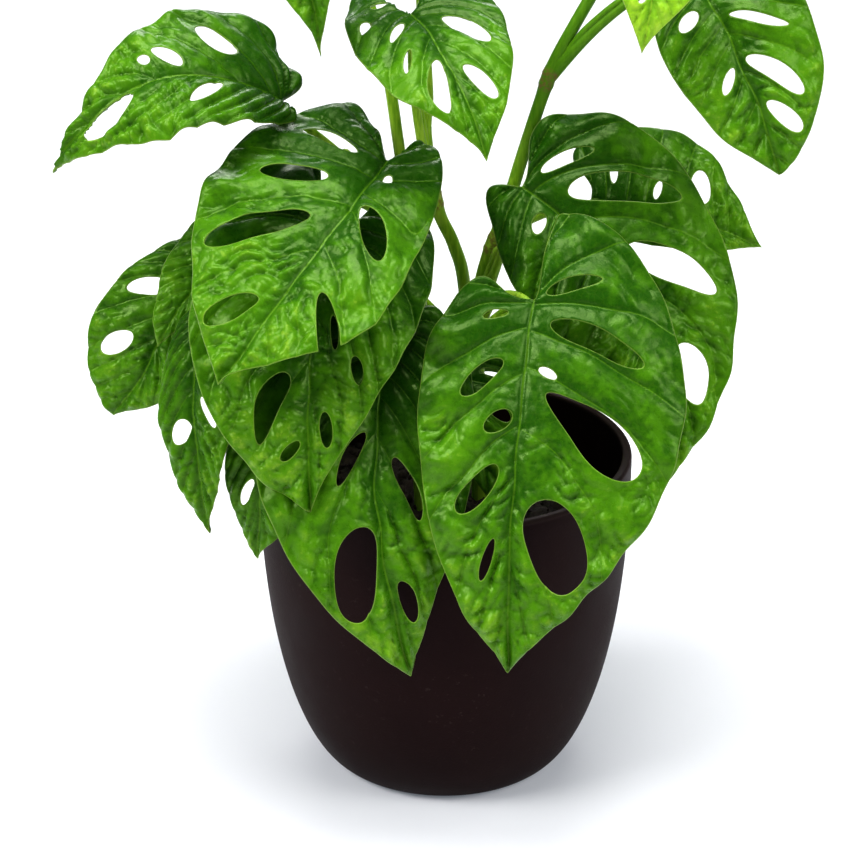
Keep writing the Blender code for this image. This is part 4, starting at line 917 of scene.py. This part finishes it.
def add_blade(leaf, finish):
    """One leaf blade as a mesh object that stands for the measured node of the same name."""
    blade = blades[leaf.name]
    flat, side, vein, share, faces = triangulate(blade)
    count, edges = len(flat), edges_of(faces)
    on_edge = np.unique(edges)
    rim = nearest(flat, flat[on_edge])[1]
    height, number, reach, vein_mm, crest = relief(blade, flat, side, vein, share, rim)
    shifts = [waves(flat, WARP_LENGTH, blade.seed + 5), waves(flat, WARP_LENGTH, blade.seed + 6)]
    warped = flat + WARP * np.column_stack(shifts)
    along = np.clip(flat[:, 1] / blade.length, 0, 1)
    rib = RIB_HEIGHT * np.exp(-flat[:, 0] ** 2) * (1 - 0.8 * along)
    ridge = VEIN_HEIGHT * np.exp(-((vein_mm / 0.6) ** 2)) * (1 - 0.7 * share) * smooth_step(0, 1.5, rim)
    top = lift(blade, warped, height + BLADE_THICKNESS / 2)
    bottom = lift(blade, warped, height - BLADE_THICKNESS / 2 - rib - ridge)
    middle = lift(blade, warped[on_edge] + EDGE_ROUND * outwards(warped, edges), height[on_edge])

    def thrice(values):
        return np.concatenate([values, values, values[on_edge]])

    under = np.concatenate([np.zeros(count), np.ones(count), np.full(len(on_edge), 0.5)])
    seeds = np.full(count, float(blade.seed % 97))
    attributes = {
        "vein": thrice(number), "reach": thrice(reach), "share": thrice(share), "rim": thrice(rim),
        "crest": thrice(crest), "across": thrice(flat[:, 0]), "along": thrice(along), "under": under,
        "flat": thrice(np.column_stack([flat, seeds])),
    }
    points = np.vstack([top, bottom, middle])
    made = new_mesh(leaf.name + "_blade", points, skin(faces, edges, count), finish, attributes)
    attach(made, "root")
    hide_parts(leaf.name)
    return made


print("thickness of a blade in mm:", BLADE_THICKNESS)

# %% [markdown]
# ## How light each place of a leaf is
# Seen close, a leaf isn't one green. It is lighter towards the edge, with soft blotches over all of it. Shade
# and light are painted in as well: painted shade at the base, where the leaf lies inside the plant, and in
# the hollows of the puckers, painted highlights on the crests, and painted light towards the tip. These add
# up to one tone, which a later cell turns into colour. It depends on where a point lies on the leaf, so the
# material reads the values stored on the points, and no picture is needed.

# %% Tone of a leaf
def leaf_tone_and_painted_light(r, flat):
    """One number for each place: low where the leaf is dark, above 1 where it is lightest."""
    along = r.attribute("along")
    return r.total(
        r.math("MULTIPLY", r.band(r.noise(flat, 0.055, 1.0), 0.35, 0.68), 0.20),
        # Painted highlight and shade: the crests of the quilting and the puckers are lighter, the hollows
        # darker.
        r.math("MULTIPLY", r.attribute("crest"), 0.36),
        r.math("MULTIPLY", r.band(r.attribute("share"), 0.1, 1.0), 0.14),
        r.band(r.noise(flat, 0.17, 2.0, 0.65), 0.34, 0.66, -0.11, 0.13),
        # Painted shade and light: darker at the base, inside the plant, and lighter towards the tip.
        r.band(along, 0.05, 0.95, 0.02, 0.36),
        r.band(along, 0.0, 0.24, -0.22, 0.0))


trial = Recipe("trial")
leaf_tone_and_painted_light(trial, trial.attribute("flat", "Vector"))
print("nodes for the tone:", len(trial.tree.nodes) - 3)
bpy.data.materials.remove(trial.material)

# %% [markdown]
# ## The colour of a leaf
# The tone, with its painted shade and light, picks between three greens. Over them lie yellow-green flecks, a
# net of very fine veins, the pale side veins and midrib, a darker band beside the midrib that is painted
# shade, and a thin pale line along every edge. The underside is paler and duller. The gloss is tinted green,
# because light that a leaf throws back has passed its skin.

# %% Leaf finishes
UNDERSIDE_GREEN = (0.13, 0.28, 0.05, 1)


def leaf_finish(name, deep, middle, light, fleck, edge):
    r = Recipe(name)
    flat, under = r.attribute("flat", "Vector"), r.attribute("under")
    fine, tone = r.noise(flat, 0.45, 2.0, 0.65), leaf_tone_and_painted_light(r, flat)
    number = r.math("FRACT", r.math("ADD", r.attribute("vein"), 0.5))
    vein_mm = r.math("MULTIPLY", r.math("ABSOLUTE", r.math("SUBTRACT", number, 0.5)), r.attribute("reach"))
    rib_mm = r.math("ABSOLUTE", r.attribute("across"))
    net = r.add("TexVoronoi", {"Vector": flat, "Scale": 0.42}, "Distance", feature="DISTANCE_TO_EDGE")
    # The flecks gather where the tone is high, so most of them fall on the painted highlights of the crests
    # and the painted light at the tips.
    flecks = r.math("MULTIPLY", r.band(fine, 0.56, 0.70), r.band(tone, 0.5, 0.9))
    colour = r.mix(r.band(tone, 0.1, 0.70), deep, middle)
    colour = r.mix(r.band(tone, 0.62, 1.2), colour, light)
    colour = r.mix(r.math("MULTIPLY", flecks, 0.4), colour, fleck)
    colour = r.mix(r.band(net, 0.10, 0.02, 0.0, 0.03), colour, fleck)
    colour = r.mix(r.band(vein_mm, 0.40, 0.12, 0.0, 0.28), colour, light)
    # Painted shade: a darker band on both sides of the midrib, as in the shadow of its groove.
    colour = r.mix(r.band(rib_mm, 4.5, 0.6, 0.0, 0.35), colour, deep)
    colour = r.mix(r.band(rib_mm, 0.45, 0.15, 0.0, 0.38), colour, light)
    colour = r.mix(r.band(r.attribute("rim"), 0.26, 0.03, 0.0, 0.30), colour, edge)
    colour = r.mix(r.math("MULTIPLY", under, 0.6), colour, UNDERSIDE_GREEN)
    rough = r.math("ADD", r.band(fine, 0.3, 0.75, 0.25, 0.38), r.math("MULTIPLY", under, 0.2))
    return r.surface(Base_Color=colour, Roughness=rough, Normal=r.bump(fine, 0.00016), IOR=1.42,
                     Specular_IOR_Level=0.40, Specular_Tint=(0.72, 1.0, 0.38, 1))


leaf_green = leaf_finish("leaf_green", (0.014, 0.070, 0.002, 1), (0.060, 0.185, 0.004, 1),
                         (0.130, 0.280, 0.012, 1), (0.240, 0.380, 0.035, 1), (0.300, 0.380, 0.080, 1))
young_green = leaf_finish("young_leaf_green", (0.10, 0.26, 0.012, 1), (0.25, 0.48, 0.02, 1),
                          (0.40, 0.60, 0.05, 1), (0.50, 0.66, 0.12, 1), (0.55, 0.60, 0.18, 1))
print("leaf finishes:", leaf_green.name, young_green.name)

# %% [markdown]
# ## All the leaves
# The youngest leaf has just unrolled, so it is thin and yellow-green. Old and young leaves share one
# recipe and differ in their five colours alone.

# %% Make the leaves
for leaf in LEAVES:
    young = leaf.name == "leaf_young_top"
    made = add_blade(leaf, young_green if young else leaf_green)
    print(made.name, len(made.data.polygons), "triangles")

# %% [markdown]
# ## Paths of vines and petioles
# The vines of this plant are thin green stems with a swollen joint where each leaf was made. A petiole
# leaves the joint, arches over and ends under the notch of its blade. A vine is a smooth curve through
# its route's points. A petiole is a cubic Bezier from the joint, by its elbow, to the blade: the same
# curve that Blender's own Bezier tool draws.

# %% Paths
SEGMENT_SAMPLES = 40
SEAT_PLACE, SEAT_DROP = 2.4, 1.8
PETIOLE_END_RADIUS = 1.5
LEAST_RISE = 0.35
HAND_SHARE = 0.38


def smooth_path(points, count):
    """Points evenly spaced along a smooth curve through the given ones."""
    p = np.asarray(points, float)
    ends = np.vstack([2 * p[0] - p[1], p, 2 * p[-1] - p[-2]])
    t = np.linspace(0, 1, SEGMENT_SAMPLES, endpoint=False)[:, None]
    fine = []
    for a, b, c, d in zip(ends, ends[1:], ends[2:], ends[3:]):
        bend = (c - a) * t + (2 * a - 5 * b + 4 * c - d) * t**2 + (3 * b - a - 3 * c + d) * t**3
        fine.append(b + 0.5 * bend)
    fine = np.vstack(fine + [p[-1:]])
    along = way_along(fine)
    even = np.linspace(0, along[-1], count)
    return np.column_stack([np.interp(even, along, fine[:, k]) for k in range(3)])


def petiole_path(leaf, count):
    """From inside the vine, by the elbow, to just under the base of the blade's midrib."""
    point, ahead, _, up = (part[0] for part in frame_at(blades[leaf.name], np.array([SEAT_PLACE])))
    start, elbow = np.array(leaf.start, float), np.array(leaf.elbow, float)
    arrive = unit(unit(0.75 * ahead + 0.65 * up) + 0.8 * unit(point - elbow))
    if arrive @ up < LEAST_RISE:
        arrive = unit(arrive + (0.4 - arrive @ up) * up)
    tilt = math.sqrt(max(0.0, 1 - float(arrive @ up) ** 2))
    end = point - (SEAT_DROP + PETIOLE_END_RADIUS * tilt) * up
    hand = end - HAND_SHARE * np.linalg.norm(end - elbow) * arrive
    t = np.linspace(0, 1, count)[:, None]
    return (1 - t) ** 3 * start + 3 * (1 - t) ** 2 * t * elbow + 3 * (1 - t) * t**2 * hand + t**3 * end


def line_length(line):
    """The whole length of a line of points."""
    return np.linalg.norm(np.diff(line, axis=0), axis=1).sum()


print("petioles in mm:", {leaf.name: round(line_length(petiole_path(leaf, 40))) for leaf in LEAVES})

# %% [markdown]
# ## Tubes
# Curves with a bevel would give plain wires. Tubes made ring by ring can swell and taper where the plant
# does. Each ring is turned as little as possible from the one before, so that the tube isn't twisted.
# The same way to join rings of points with triangles serves the pot and the soil later.

# %% Tubes from rings
def wound(rings, sides):
    """Triangles over rings of points, closed by two more points: one before the first, one after the last."""
    k, i = np.meshgrid(np.arange(rings - 1) * sides, np.arange(sides), indexing="ij")
    j = (i + 1) % sides
    walls = [np.column_stack([(k + i).ravel(), (k + j).ravel(), (k + sides + j).ravel()]),
             np.column_stack([(k + i).ravel(), (k + sides + j).ravel(), (k + sides + i).ravel()])]
    i, j, last, end = i[0], j[0], (rings - 1) * sides, rings * sides
    foot = np.column_stack([j, i, np.full(sides, end)])
    head = np.column_stack([last + i, last + j, np.full(sides, end + 1)])
    return np.vstack(walls + [foot, head])


def tube(name, path, radii, sides, finish):
    """A closed tube along a path."""
    tangent = unit(np.gradient(path, axis=0))
    side = unit(np.cross(tangent[0], (0.3, 0.9, 0.1)))
    angle = np.arange(sides) * 2 * math.pi / sides
    rings = []
    for p, t, r in zip(path, tangent, radii):
        side = unit(side - (side @ t) * t)
        up = np.cross(t, side)
        rings.append(p + r * (np.cos(angle)[:, None] * side + np.sin(angle)[:, None] * up))
    points = np.vstack(rings + [path[:1], path[-1:]])
    return new_mesh(name, points, wound(len(path), sides), finish)


def rounded(radii, step):
    """Radii that shrink over the last few rings, so that the tube ends in a dome."""
    from_end = np.arange(len(radii))[::-1] * step
    fall = np.clip(from_end / radii[-1], 0.03, 1)
    return radii * np.sqrt(1 - (1 - fall) ** 2)


print("a tube of 3 rings with 12 sides has", len(wound(3, 12)), "triangles")

# %% [markdown]
# ## Joining pieces, and the petiole's sheath
# A vine and its petioles grew as one, so each petiole is joined into its vine with a Boolean union, which
# cuts away what lies inside. Without it, faces would cross inside the stem. The sheath is the part of
# the petiole that once wrapped the vine: here a ridge that runs along its inner side and ends in a step.

# %% Union and sheath
SHEATH_SHARE, SHEATH_HEIGHT = 0.38, 2.3
SHEATH_SIDES = 12


def union(target, other):
    """Joins another closed mesh into the target, and removes it."""
    modifier = target.modifiers.new("join", "BOOLEAN")
    modifier.operation = "UNION"
    modifier.object = other
    modifier.solver = "MANIFOLD"
    with bpy.context.temp_override(object=target, active_object=target):
        bpy.ops.object.modifier_apply(modifier=modifier.name)
    bpy.data.objects.remove(other)


def sheath(line, finish):
    """The ridge along the inner side of a petiole, where it once clasped the vine."""
    reach = int(SHEATH_SHARE * len(line))
    ahead = unit(np.gradient(line, axis=0))[:reach]
    inner = unit(np.array([0, 0, 1.0]) - ahead[:, 2:] * ahead)
    share = np.linspace(0, 1, reach)
    ridge = line[:reach] + inner * (SHEATH_HEIGHT * smooth_step(0, 0.5, share))[:, None]
    radii = 1.4 - 0.3 * share
    step = float(np.linalg.norm(ridge[-1] - ridge[-2]))
    return tube("sheath", ridge, rounded(radii, step), SHEATH_SIDES, finish)


print("share of a petiole that its sheath takes:", SHEATH_SHARE)

# %% [markdown]
# ## A vine and all that grows from it
# The vine tapers, swells at each joint with a thin ring on the swelling, and ends in a pointed spear. Once
# everything is joined, each point learns how near it is to a joint and to a leaf, and whether it is on
# the darker right vine, for the colour.

# %% Build a vine
VINE_SPACING = 1.1
VINE_SIDES, PETIOLE_SIDES = 20, 14
VINE_TOP_SHARE = 0.72
SPEAR_SHARE = 0.07
PETIOLE_SPACING, FEWEST_RINGS = 1.2, 24
PETIOLE_BASE_RADIUS = 2.1
BASE_SWELLING = 0.45
DEEP_GREEN = {"vine_right": 0.9}
DEEP_FROM, DEEP_FULL = 205, 265


def vine_radii(vine, path, joints):
    """The vine's radius at each point of its path."""
    share = np.linspace(0, 1, len(path))
    radii = vine.root_radius * (1 - (1 - VINE_TOP_SHARE) * share)
    for joint in joints:
        near = np.linalg.norm(path - joint, axis=1)
        radii *= 1 + 0.18 * np.exp(-((near / 5.0) ** 2)) + 0.10 * np.exp(-(((near - 2.2) / 0.9) ** 2))
    spear = share > 1 - SPEAR_SHARE
    radii[spear] = np.linspace(radii[~spear][-1] * 0.95, vine.end_radius, spear.sum())
    return radii


def petiole_radii(line):
    """Thicker at the joint, thinnest at mid length, and a little thicker at the bent knuckle."""
    t = np.linspace(0, 1, len(line))
    radii = PETIOLE_BASE_RADIUS + (PETIOLE_END_RADIUS - PETIOLE_BASE_RADIUS) * t**0.6
    radii = radii * (1 - 0.12 * np.exp(-(((t - 0.5) / 0.3) ** 2)))
    return radii + BASE_SWELLING * np.exp(-((t * line_length(line) / 9.0) ** 2))


def mark_stem(made, vine, joints, seats):
    """Stores on each point how deep its green is and how near it is to a joint and to a leaf."""
    mesh = made.data
    points = np.empty(3 * len(mesh.vertices), np.float32)
    mesh.vertices.foreach_get("co", points)
    points = points.reshape(-1, 3) / MM
    deep = DEEP_GREEN.get(vine.name, 0.0) * smooth_step(DEEP_FROM, DEEP_FULL, points[:, 2])
    marks = {"deep": deep, "joint": nearest(points, joints)[1], "seat": nearest(points, seats)[1]}
    for key, values in marks.items():
        mesh.attributes.new(key, "FLOAT", "POINT").data.foreach_set("value", values.astype(np.float32))
    mesh.shade_smooth()


def add_vine(vine, finish):
    """One vine with its joints, its rolled tip and the petioles that grow from it."""
    length = sum(math.dist(a, b) for a, b in zip(vine.route, vine.route[1:]))
    count = int(length / VINE_SPACING)
    path = smooth_path(vine.route, count)
    grown = [leaf for leaf in LEAVES if leaf.stem == vine.name]
    joints = np.array([leaf.start for leaf in grown], float)
    radii = rounded(vine_radii(vine, path, joints), length / count)
    made = tube(vine.name + "_stem", path, radii, VINE_SIDES, finish)
    seats = []
    for leaf in grown:
        rings = int(line_length(petiole_path(leaf, 40)) / PETIOLE_SPACING)
        line = petiole_path(leaf, max(FEWEST_RINGS, rings))
        union(made, tube("branch", line, petiole_radii(line), PETIOLE_SIDES, finish))
        union(made, sheath(line, finish))
        seats.append(line[-1])
    mark_stem(made, vine, joints, np.array(seats))
    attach(made, "root")
    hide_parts(vine.name)
    return made


print("petioles on each vine:", {v.name: sum(leaf.stem == v.name for leaf in LEAVES) for v in VINES})

# %% [markdown]
# ## The colour of the stems
# Young stems are a light yellow-green with fine streaks along their length, and the right vine is a deeper
# green. Each joint carries a brown scar. The streaks are one noise texture, squeezed sideways by a
# Mapping node.

# %% Stem finish
def stem_finish():
    r = Recipe("stem_green")
    place = r.add("TexCoord", {}, "Object")
    streak = r.noise(r.add("Mapping", {"Vector": place, "Scale": (900.0, 900.0, 60.0)}), 1.0, 4.0, 0.6)
    patch = r.noise(place, 60.0, 3.0)
    joint, seat = r.attribute("joint"), r.attribute("seat")
    deep_green = r.mix(streak, (0.035, 0.13, 0.003, 1), (0.085, 0.22, 0.005, 1))
    ring = r.math("MULTIPLY", r.band(joint, 2.0, 3.2), r.band(joint, 5.6, 4.0))
    scar = r.math("MULTIPLY", ring, r.band(r.noise(place, 900.0, 3.0), 0.35, 0.6))
    colour = r.mix(r.band(streak, 0.35, 0.7), (0.13, 0.28, 0.010, 1), (0.26, 0.43, 0.025, 1))
    colour = r.mix(r.band(patch, 0.45, 0.7, 0.0, 0.5), colour, (0.34, 0.47, 0.06, 1))
    colour = r.mix(r.attribute("deep"), colour, deep_green)
    colour = r.mix(r.math("MULTIPLY", scar, 0.75), colour, (0.16, 0.09, 0.035, 1))
    colour = r.mix(r.band(seat, 7.0, 2.0, 0.0, 0.5), colour, (0.20, 0.40, 0.06, 1))
    return r.surface(Base_Color=colour, Roughness=r.band(streak, 0.2, 0.8, 0.36, 0.5),
                     Normal=r.bump(streak, 0.00012), IOR=1.42, Specular_IOR_Level=0.3,
                     Specular_Tint=(0.85, 1.0, 0.55, 1))


stem_green = stem_finish()
for vine in VINES:
    made = add_vine(vine, stem_green)
    print(made.name, len(made.data.polygons), "faces")

# %% [markdown]
# ## The pot
# The pot is a thick round bowl of dark brown moulded plastic. It has upright sides at the rim, rounds in
# to a flat foot, and has a narrow rounded lip. It is a turned shape: one profile, spun round the axis. A
# Screw modifier would do, but spinning the points in code lets the profile come from the same curve
# that gives the measured pot its walls.

# %% The pot's profile
POT_RADIUS = 70.0
POT_HEIGHT = 125.5
POT_FOOT_RADIUS = 40.5
POT_BELLY, POT_ROUND = 2.27, 1.71
POT_WALL = 3.6
POT_FLOOR = 6.0
LIP_RADIUS, INNER_LIP_RADIUS = 1.5, 0.9
LIP_STEPS = 7
HEEL_TOP = 1.2


def pot_radius(z):
    """The pot's outer radius at height z: upright at the rim, rounding in to a flat foot."""
    t = np.clip(np.asarray(z, float) / POT_HEIGHT, 0, 1)
    return POT_FOOT_RADIUS + (POT_RADIUS - POT_FOOT_RADIUS) * (1 - (1 - t) ** POT_BELLY) ** (1 / POT_ROUND)


def pot_profile():
    """From the middle of the foot, up the outside, over the round lip and down the inside."""
    heel = [(POT_FOOT_RADIUS - 3.0, 0.0), (POT_FOOT_RADIUS - 0.6, 0.15), (POT_FOOT_RADIUS + 0.4, 0.6)]
    rise = HEEL_TOP + np.linspace(0, 1, 60) ** 1.5 * (POT_HEIGHT - HEEL_TOP - LIP_RADIUS)
    outer = [(float(pot_radius(z)), float(z)) for z in rise]
    turn = np.linspace(0, math.pi / 2, LIP_STEPS)[1:]
    lip = [(POT_RADIUS - LIP_RADIUS * (1 - math.cos(a)),
            POT_HEIGHT - LIP_RADIUS * (1 - math.sin(a))) for a in turn]
    inner_lip = [(POT_RADIUS - POT_WALL + INNER_LIP_RADIUS * (1 - math.sin(a)),
                  POT_HEIGHT - INNER_LIP_RADIUS * (1 - math.cos(a))) for a in turn]
    fall = np.linspace(1, 0, 30) ** 1.5 * (POT_HEIGHT - 2.2 - POT_FLOOR) + POT_FLOOR
    inner = [(float(pot_radius(z)) - POT_WALL, float(z)) for z in fall]
    return [(0.0, 0.0)] + heel + outer + lip + inner_lip + inner + [(0.0, POT_FLOOR)]


print("points on the pot's profile:", len(pot_profile()))

# %% [markdown]
# ## The pot's finish
# The plastic is matt. Close up it has a fine grain, faint lighter dust, and short scuffs on the lip where it
# has been handled. The lip is also painted a little lighter all round, a painted highlight on the rounded
# rim. The scuffs are noise that is stretched level.

# %% Pot finish
LIP_HIGHLIGHT_BAND = (0.1236, 0.1246)


def pot_finish():
    r = Recipe("pot_dark_brown")
    place = r.add("TexCoord", {}, "Object")
    height = r.add("SeparateXYZ", {"Vector": place}, "Z")
    grain, cloud = r.noise(place, 1400.0, 3.0, 0.6), r.noise(place, 28.0, 4.0)
    dust = r.math("MULTIPLY", r.band(r.noise(place, 420.0, 3.0, 0.7), 0.60, 0.72), r.band(cloud, 0.4, 0.65))
    lip = r.band(height, *LIP_HIGHLIGHT_BAND)
    level = r.add("Mapping", {"Vector": place, "Scale": (60.0, 60.0, 1500.0)})
    scuff = r.math("MULTIPLY", lip, r.band(r.noise(level, 1.0, 5.0, 0.75), 0.60, 0.70))
    colour = r.mix(r.band(cloud, 0.3, 0.7), (0.0094, 0.0034, 0.0028, 1), (0.0128, 0.0054, 0.0046, 1))
    colour = r.mix(r.math("MULTIPLY", dust, 0.35), colour, (0.05, 0.036, 0.032, 1))
    # Painted highlight: the lip is painted a little lighter all round, as the rounded rim catches the light.
    colour = r.mix(r.math("MULTIPLY", lip, 0.5), colour, (0.045, 0.03, 0.028, 1))
    colour = r.mix(r.math("MULTIPLY", scuff, 0.6), colour, (0.16, 0.13, 0.12, 1))
    bump = r.bump(r.math("ADD", grain, r.math("MULTIPLY", cloud, 2.0)), 0.00009)
    return r.surface(Base_Color=colour, Roughness=r.band(cloud, 0.3, 0.7, 0.50, 0.60), Normal=bump, IOR=1.46,
                     Specular_IOR_Level=0.09, Specular_Tint=(1.0, 0.76, 0.88, 1))


pot_brown = pot_finish()
print("pot finish:", pot_brown.name, "with", len(pot_brown.node_tree.nodes), "nodes")

# %% [markdown]
# ## Spin the pot
# The profile starts and ends on the axis, so the spun shape is a closed solid with a real wall, and light
# falls into it as into the real pot.

# %% Turn the pot
POT_SEGMENTS = 180


def turned(name, profile, segments, finish):
    """A closed profile of (radius, height) points from the axis and back to it, spun round Z."""
    profile = np.array(profile, float)
    angle = np.arange(segments) * 2 * math.pi / segments
    inner = profile[1:-1]
    rings = np.stack([np.outer(inner[:, 0], np.cos(angle)), np.outer(inner[:, 0], np.sin(angle)),
                      np.repeat(inner[:, 1:], segments, axis=1)], axis=-1).reshape(-1, 3)
    points = np.vstack([rings, (0, 0, profile[0, 1]), (0, 0, profile[-1, 1])])
    return new_mesh(name, points, wound(len(inner), segments), finish)


pot = turned("pot_bowl", pot_profile(), POT_SEGMENTS, pot_brown)
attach(pot, "root")
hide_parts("pot")
print("pot:", len(pot.data.polygons), "triangles")

# %% [markdown]
# ## The ground of the soil
# Potting soil is dark, coarse and full of small lumps, and lies a little higher in the middle. The ground
# is a round disc of rings whose height follows a mound and three sizes of waves. Displacing a grid
# would give the same, but rings meet the pot's round wall cleanly.

# %% Soil ground
SOIL_LEVEL = 102.0
SOIL_MOUND = 3.0
SOIL_LUMP = 0.9
SOIL_SKIRT = 12
SOIL_RINGS, SOIL_SEGMENTS = 44, 120
SOIL_EDGE = float(pot_radius(SOIL_LEVEL)) - POT_WALL - 0.4


def soil_height(x, y):
    """The height of the ground at a place."""
    radius = pot_radius(SOIL_LEVEL) - POT_WALL
    level = SOIL_LEVEL + SOIL_MOUND * (1 - (x * x + y * y) / radius**2)
    lump = SOIL_LUMP * np.sin(0.31 * x + 1.1) * np.cos(0.27 * y - 0.4)
    points = np.column_stack([x, y])
    return level + lump + 0.9 * waves(points, 9, 3) + 0.45 * waves(points, 3.5, 4, 11)


def soil_ground():
    """Points and triangles of the disc, with a skirt down its side."""
    angle = np.arange(SOIL_SEGMENTS) * 2 * math.pi / SOIL_SEGMENTS
    rings = []
    for share in np.linspace(1, 0.02, SOIL_RINGS):
        x, y = SOIL_EDGE * share * np.cos(angle), SOIL_EDGE * share * np.sin(angle)
        rings.append(np.column_stack([x, y, soil_height(x, y)]))
    skirt, low = rings[0].copy(), SOIL_LEVEL - SOIL_SKIRT
    skirt[:, 2] = low
    top = float(soil_height(np.zeros(1), np.zeros(1))[0])
    return np.vstack([skirt] + rings + [(0, 0, low), (0, 0, top)]), wound(SOIL_RINGS + 1, SOIL_SEGMENTS)


ground = soil_ground()
print("soil ground:", len(ground[0]), "points")

# %% [markdown]
# ## Crumbs
# Loose crumbs of several sizes give the soil its look from close by. Scattering them as instances would
# be light, but an export drops instances, so they are real mesh with few faces each, joined into the
# soil's own object. Each is a small ball, stretched and dented at random, and most are small.

# %% Crumbs on the soil
CRUMBS = 900
CRUMB_SEED = 11


def add_soil(finish):
    """The ground and its crumbs as one object."""
    ball = bmesh.new()
    bmesh.ops.create_icosphere(ball, subdivisions=1, radius=1.0)
    ball_points = np.array([v.co[:] for v in ball.verts])
    ball_faces = np.array([[v.index for v in f.verts] for f in ball.faces])
    ball.free()
    meshes, corners = [ground[0]], [ground[1]]
    total = len(ground[0])
    draw = np.random.default_rng(CRUMB_SEED)
    for _ in range(CRUMBS):
        radius, turn = (SOIL_EDGE - 2) * math.sqrt(draw.random()), draw.uniform(0, 2 * math.pi)
        x, y = radius * math.cos(turn), radius * math.sin(turn)
        size = 0.5 + 1.9 * draw.random() ** 3
        stretch, dents = draw.uniform(0.6, 1.25, 3), draw.uniform(0.75, 1.2, (len(ball_points), 1))
        z = float(soil_height(np.array([x]), np.array([y]))[0]) + 0.25 * size
        meshes.append(ball_points * stretch * size * dents + (x, y, z))
        corners.append(ball_faces + total)
        total += len(ball_points)
    made = new_mesh("soil_top", np.vstack(meshes), np.vstack(corners), finish)
    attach(made, "root")
    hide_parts("soil")
    return made


def soil_finish():
    r = Recipe("dark_soil")
    place = r.add("TexCoord", {}, "Object")
    fine, clump = r.noise(place, 1100.0, 4.0, 0.7), r.noise(place, 180.0, 3.0)
    colour = r.mix(r.band(clump, 0.3, 0.7), (0.010, 0.006, 0.004, 1), (0.035, 0.022, 0.014, 1))
    colour = r.mix(r.band(fine, 0.62, 0.75, 0.0, 0.6), colour, (0.09, 0.06, 0.035, 1))
    return r.surface(Base_Color=colour, Roughness=0.92, Normal=r.bump(fine, 0.0006))


soil = add_soil(soil_finish())
print("soil:", len(soil.data.polygons), "triangles")

# %% [markdown]
# ## The floor
# The plant stands on plain white, the usual ground of a plant shop's picture. A large white sheet would
# go grey away from the lights, so it also glows very faintly, as a light table does, and the shadow
# beside the pot stays soft and pale.

# %% Floor
FLOOR_SIDE = 8000.0


def floor_finish():
    r = Recipe("white_floor")
    place = r.add("TexCoord", {}, "Object")
    tint = r.mix(r.noise(place, 3.0, 2.0), (0.72, 0.72, 0.73, 1), (0.75, 0.75, 0.76, 1))
    return r.surface(Base_Color=tint, Roughness=0.9, Specular_IOR_Level=0.0,
                     Emission_Color=(0.80, 0.88, 1.0, 1), Emission_Strength=0.14)


far = FLOOR_SIDE / 2
floor = new_mesh("studio_floor", [(-far, -far, 0), (far, -far, 0), (far, far, 0), (-far, far, 0)],
                 [(0, 1, 2), (0, 2, 3)], floor_finish())
print("floor in mm:", FLOOR_SIDE)

# %% [markdown]
# ## Light
# The light is soft and even: a faint glow from all round, one large light overhead and one to each side,
# which give the soft shadow on both sides of the pot and the gloss on the leaves. A fourth light on the
# floor far behind keeps the background white. Large lights make soft shadows, and small ones hard.

# %% Lights
world = bpy.data.worlds.new("studio_light")
world.use_nodes = True
world.node_tree.nodes["Background"].inputs["Color"].default_value = (0.90, 0.94, 1.0, 1)
world.node_tree.nodes["Background"].inputs["Strength"].default_value = 0.2
bpy.context.scene.world = world


def add_softbox(name, place, size, watts, target=(0, 0, 180)):
    """A square area light that looks at a target, which is the middle of the plant by default."""
    light = bpy.data.lights.new(name, "AREA")
    light.shape, light.size, light.energy = "SQUARE", size * MM, watts
    box = bpy.data.objects.new(name, light)
    box.location = np.array(place) * MM
    view = Vector(np.array(target) - np.array(place))
    box.rotation_euler = view.to_track_quat("-Z", "Y").to_euler()
    bpy.context.scene.collection.objects.link(box)
    return box


lights = [add_softbox("overhead", (0, -120, 1600), 900, 22),
          add_softbox("key_left", (-1000, -600, 1100), 600, 14),
          add_softbox("key_right", (1000, -700, 1000), 700, 9),
          add_softbox("backdrop", (0, 2900, 1700), 2000, 60, (0, 2900, 0))]
print("lights in watts:", {box.name: box.data.energy for box in lights})

# %% [markdown]
# ## Camera
# The picture was taken from a little above, with a long lens, so the pot's rim shows as a flat oval and
# its sides hardly lean. The angle and the distance were found from how round the pot's rim and foot
# look. The camera stands straight in front of the plant and looks down at it.

# %% Camera
CAMERA_RISE = math.radians(23.9)
CAMERA_DISTANCE = 1150.0
CAMERA_TARGET = (-6.27, 0.0, 133.9)
LENS_MM = 129.52
SENSOR_MM = 36.0

camera = bpy.data.objects.new("photo_view", bpy.data.cameras.new("photo_view"))
camera.data.lens = LENS_MM
camera.data.sensor_width = SENSOR_MM
camera.location = (CAMERA_TARGET[0] * MM, -CAMERA_DISTANCE * math.cos(CAMERA_RISE) * MM,
                   (CAMERA_TARGET[2] + CAMERA_DISTANCE * math.sin(CAMERA_RISE)) * MM)
camera.rotation_euler = (math.pi / 2 - CAMERA_RISE, 0, 0)
bpy.context.scene.collection.objects.link(camera)
bpy.context.scene.camera = camera
bpy.context.scene.view_settings.view_transform = "Standard"
bpy.context.scene.view_settings.look = "Medium High Contrast"
print("camera at", [round(c, 3) for c in camera.location])
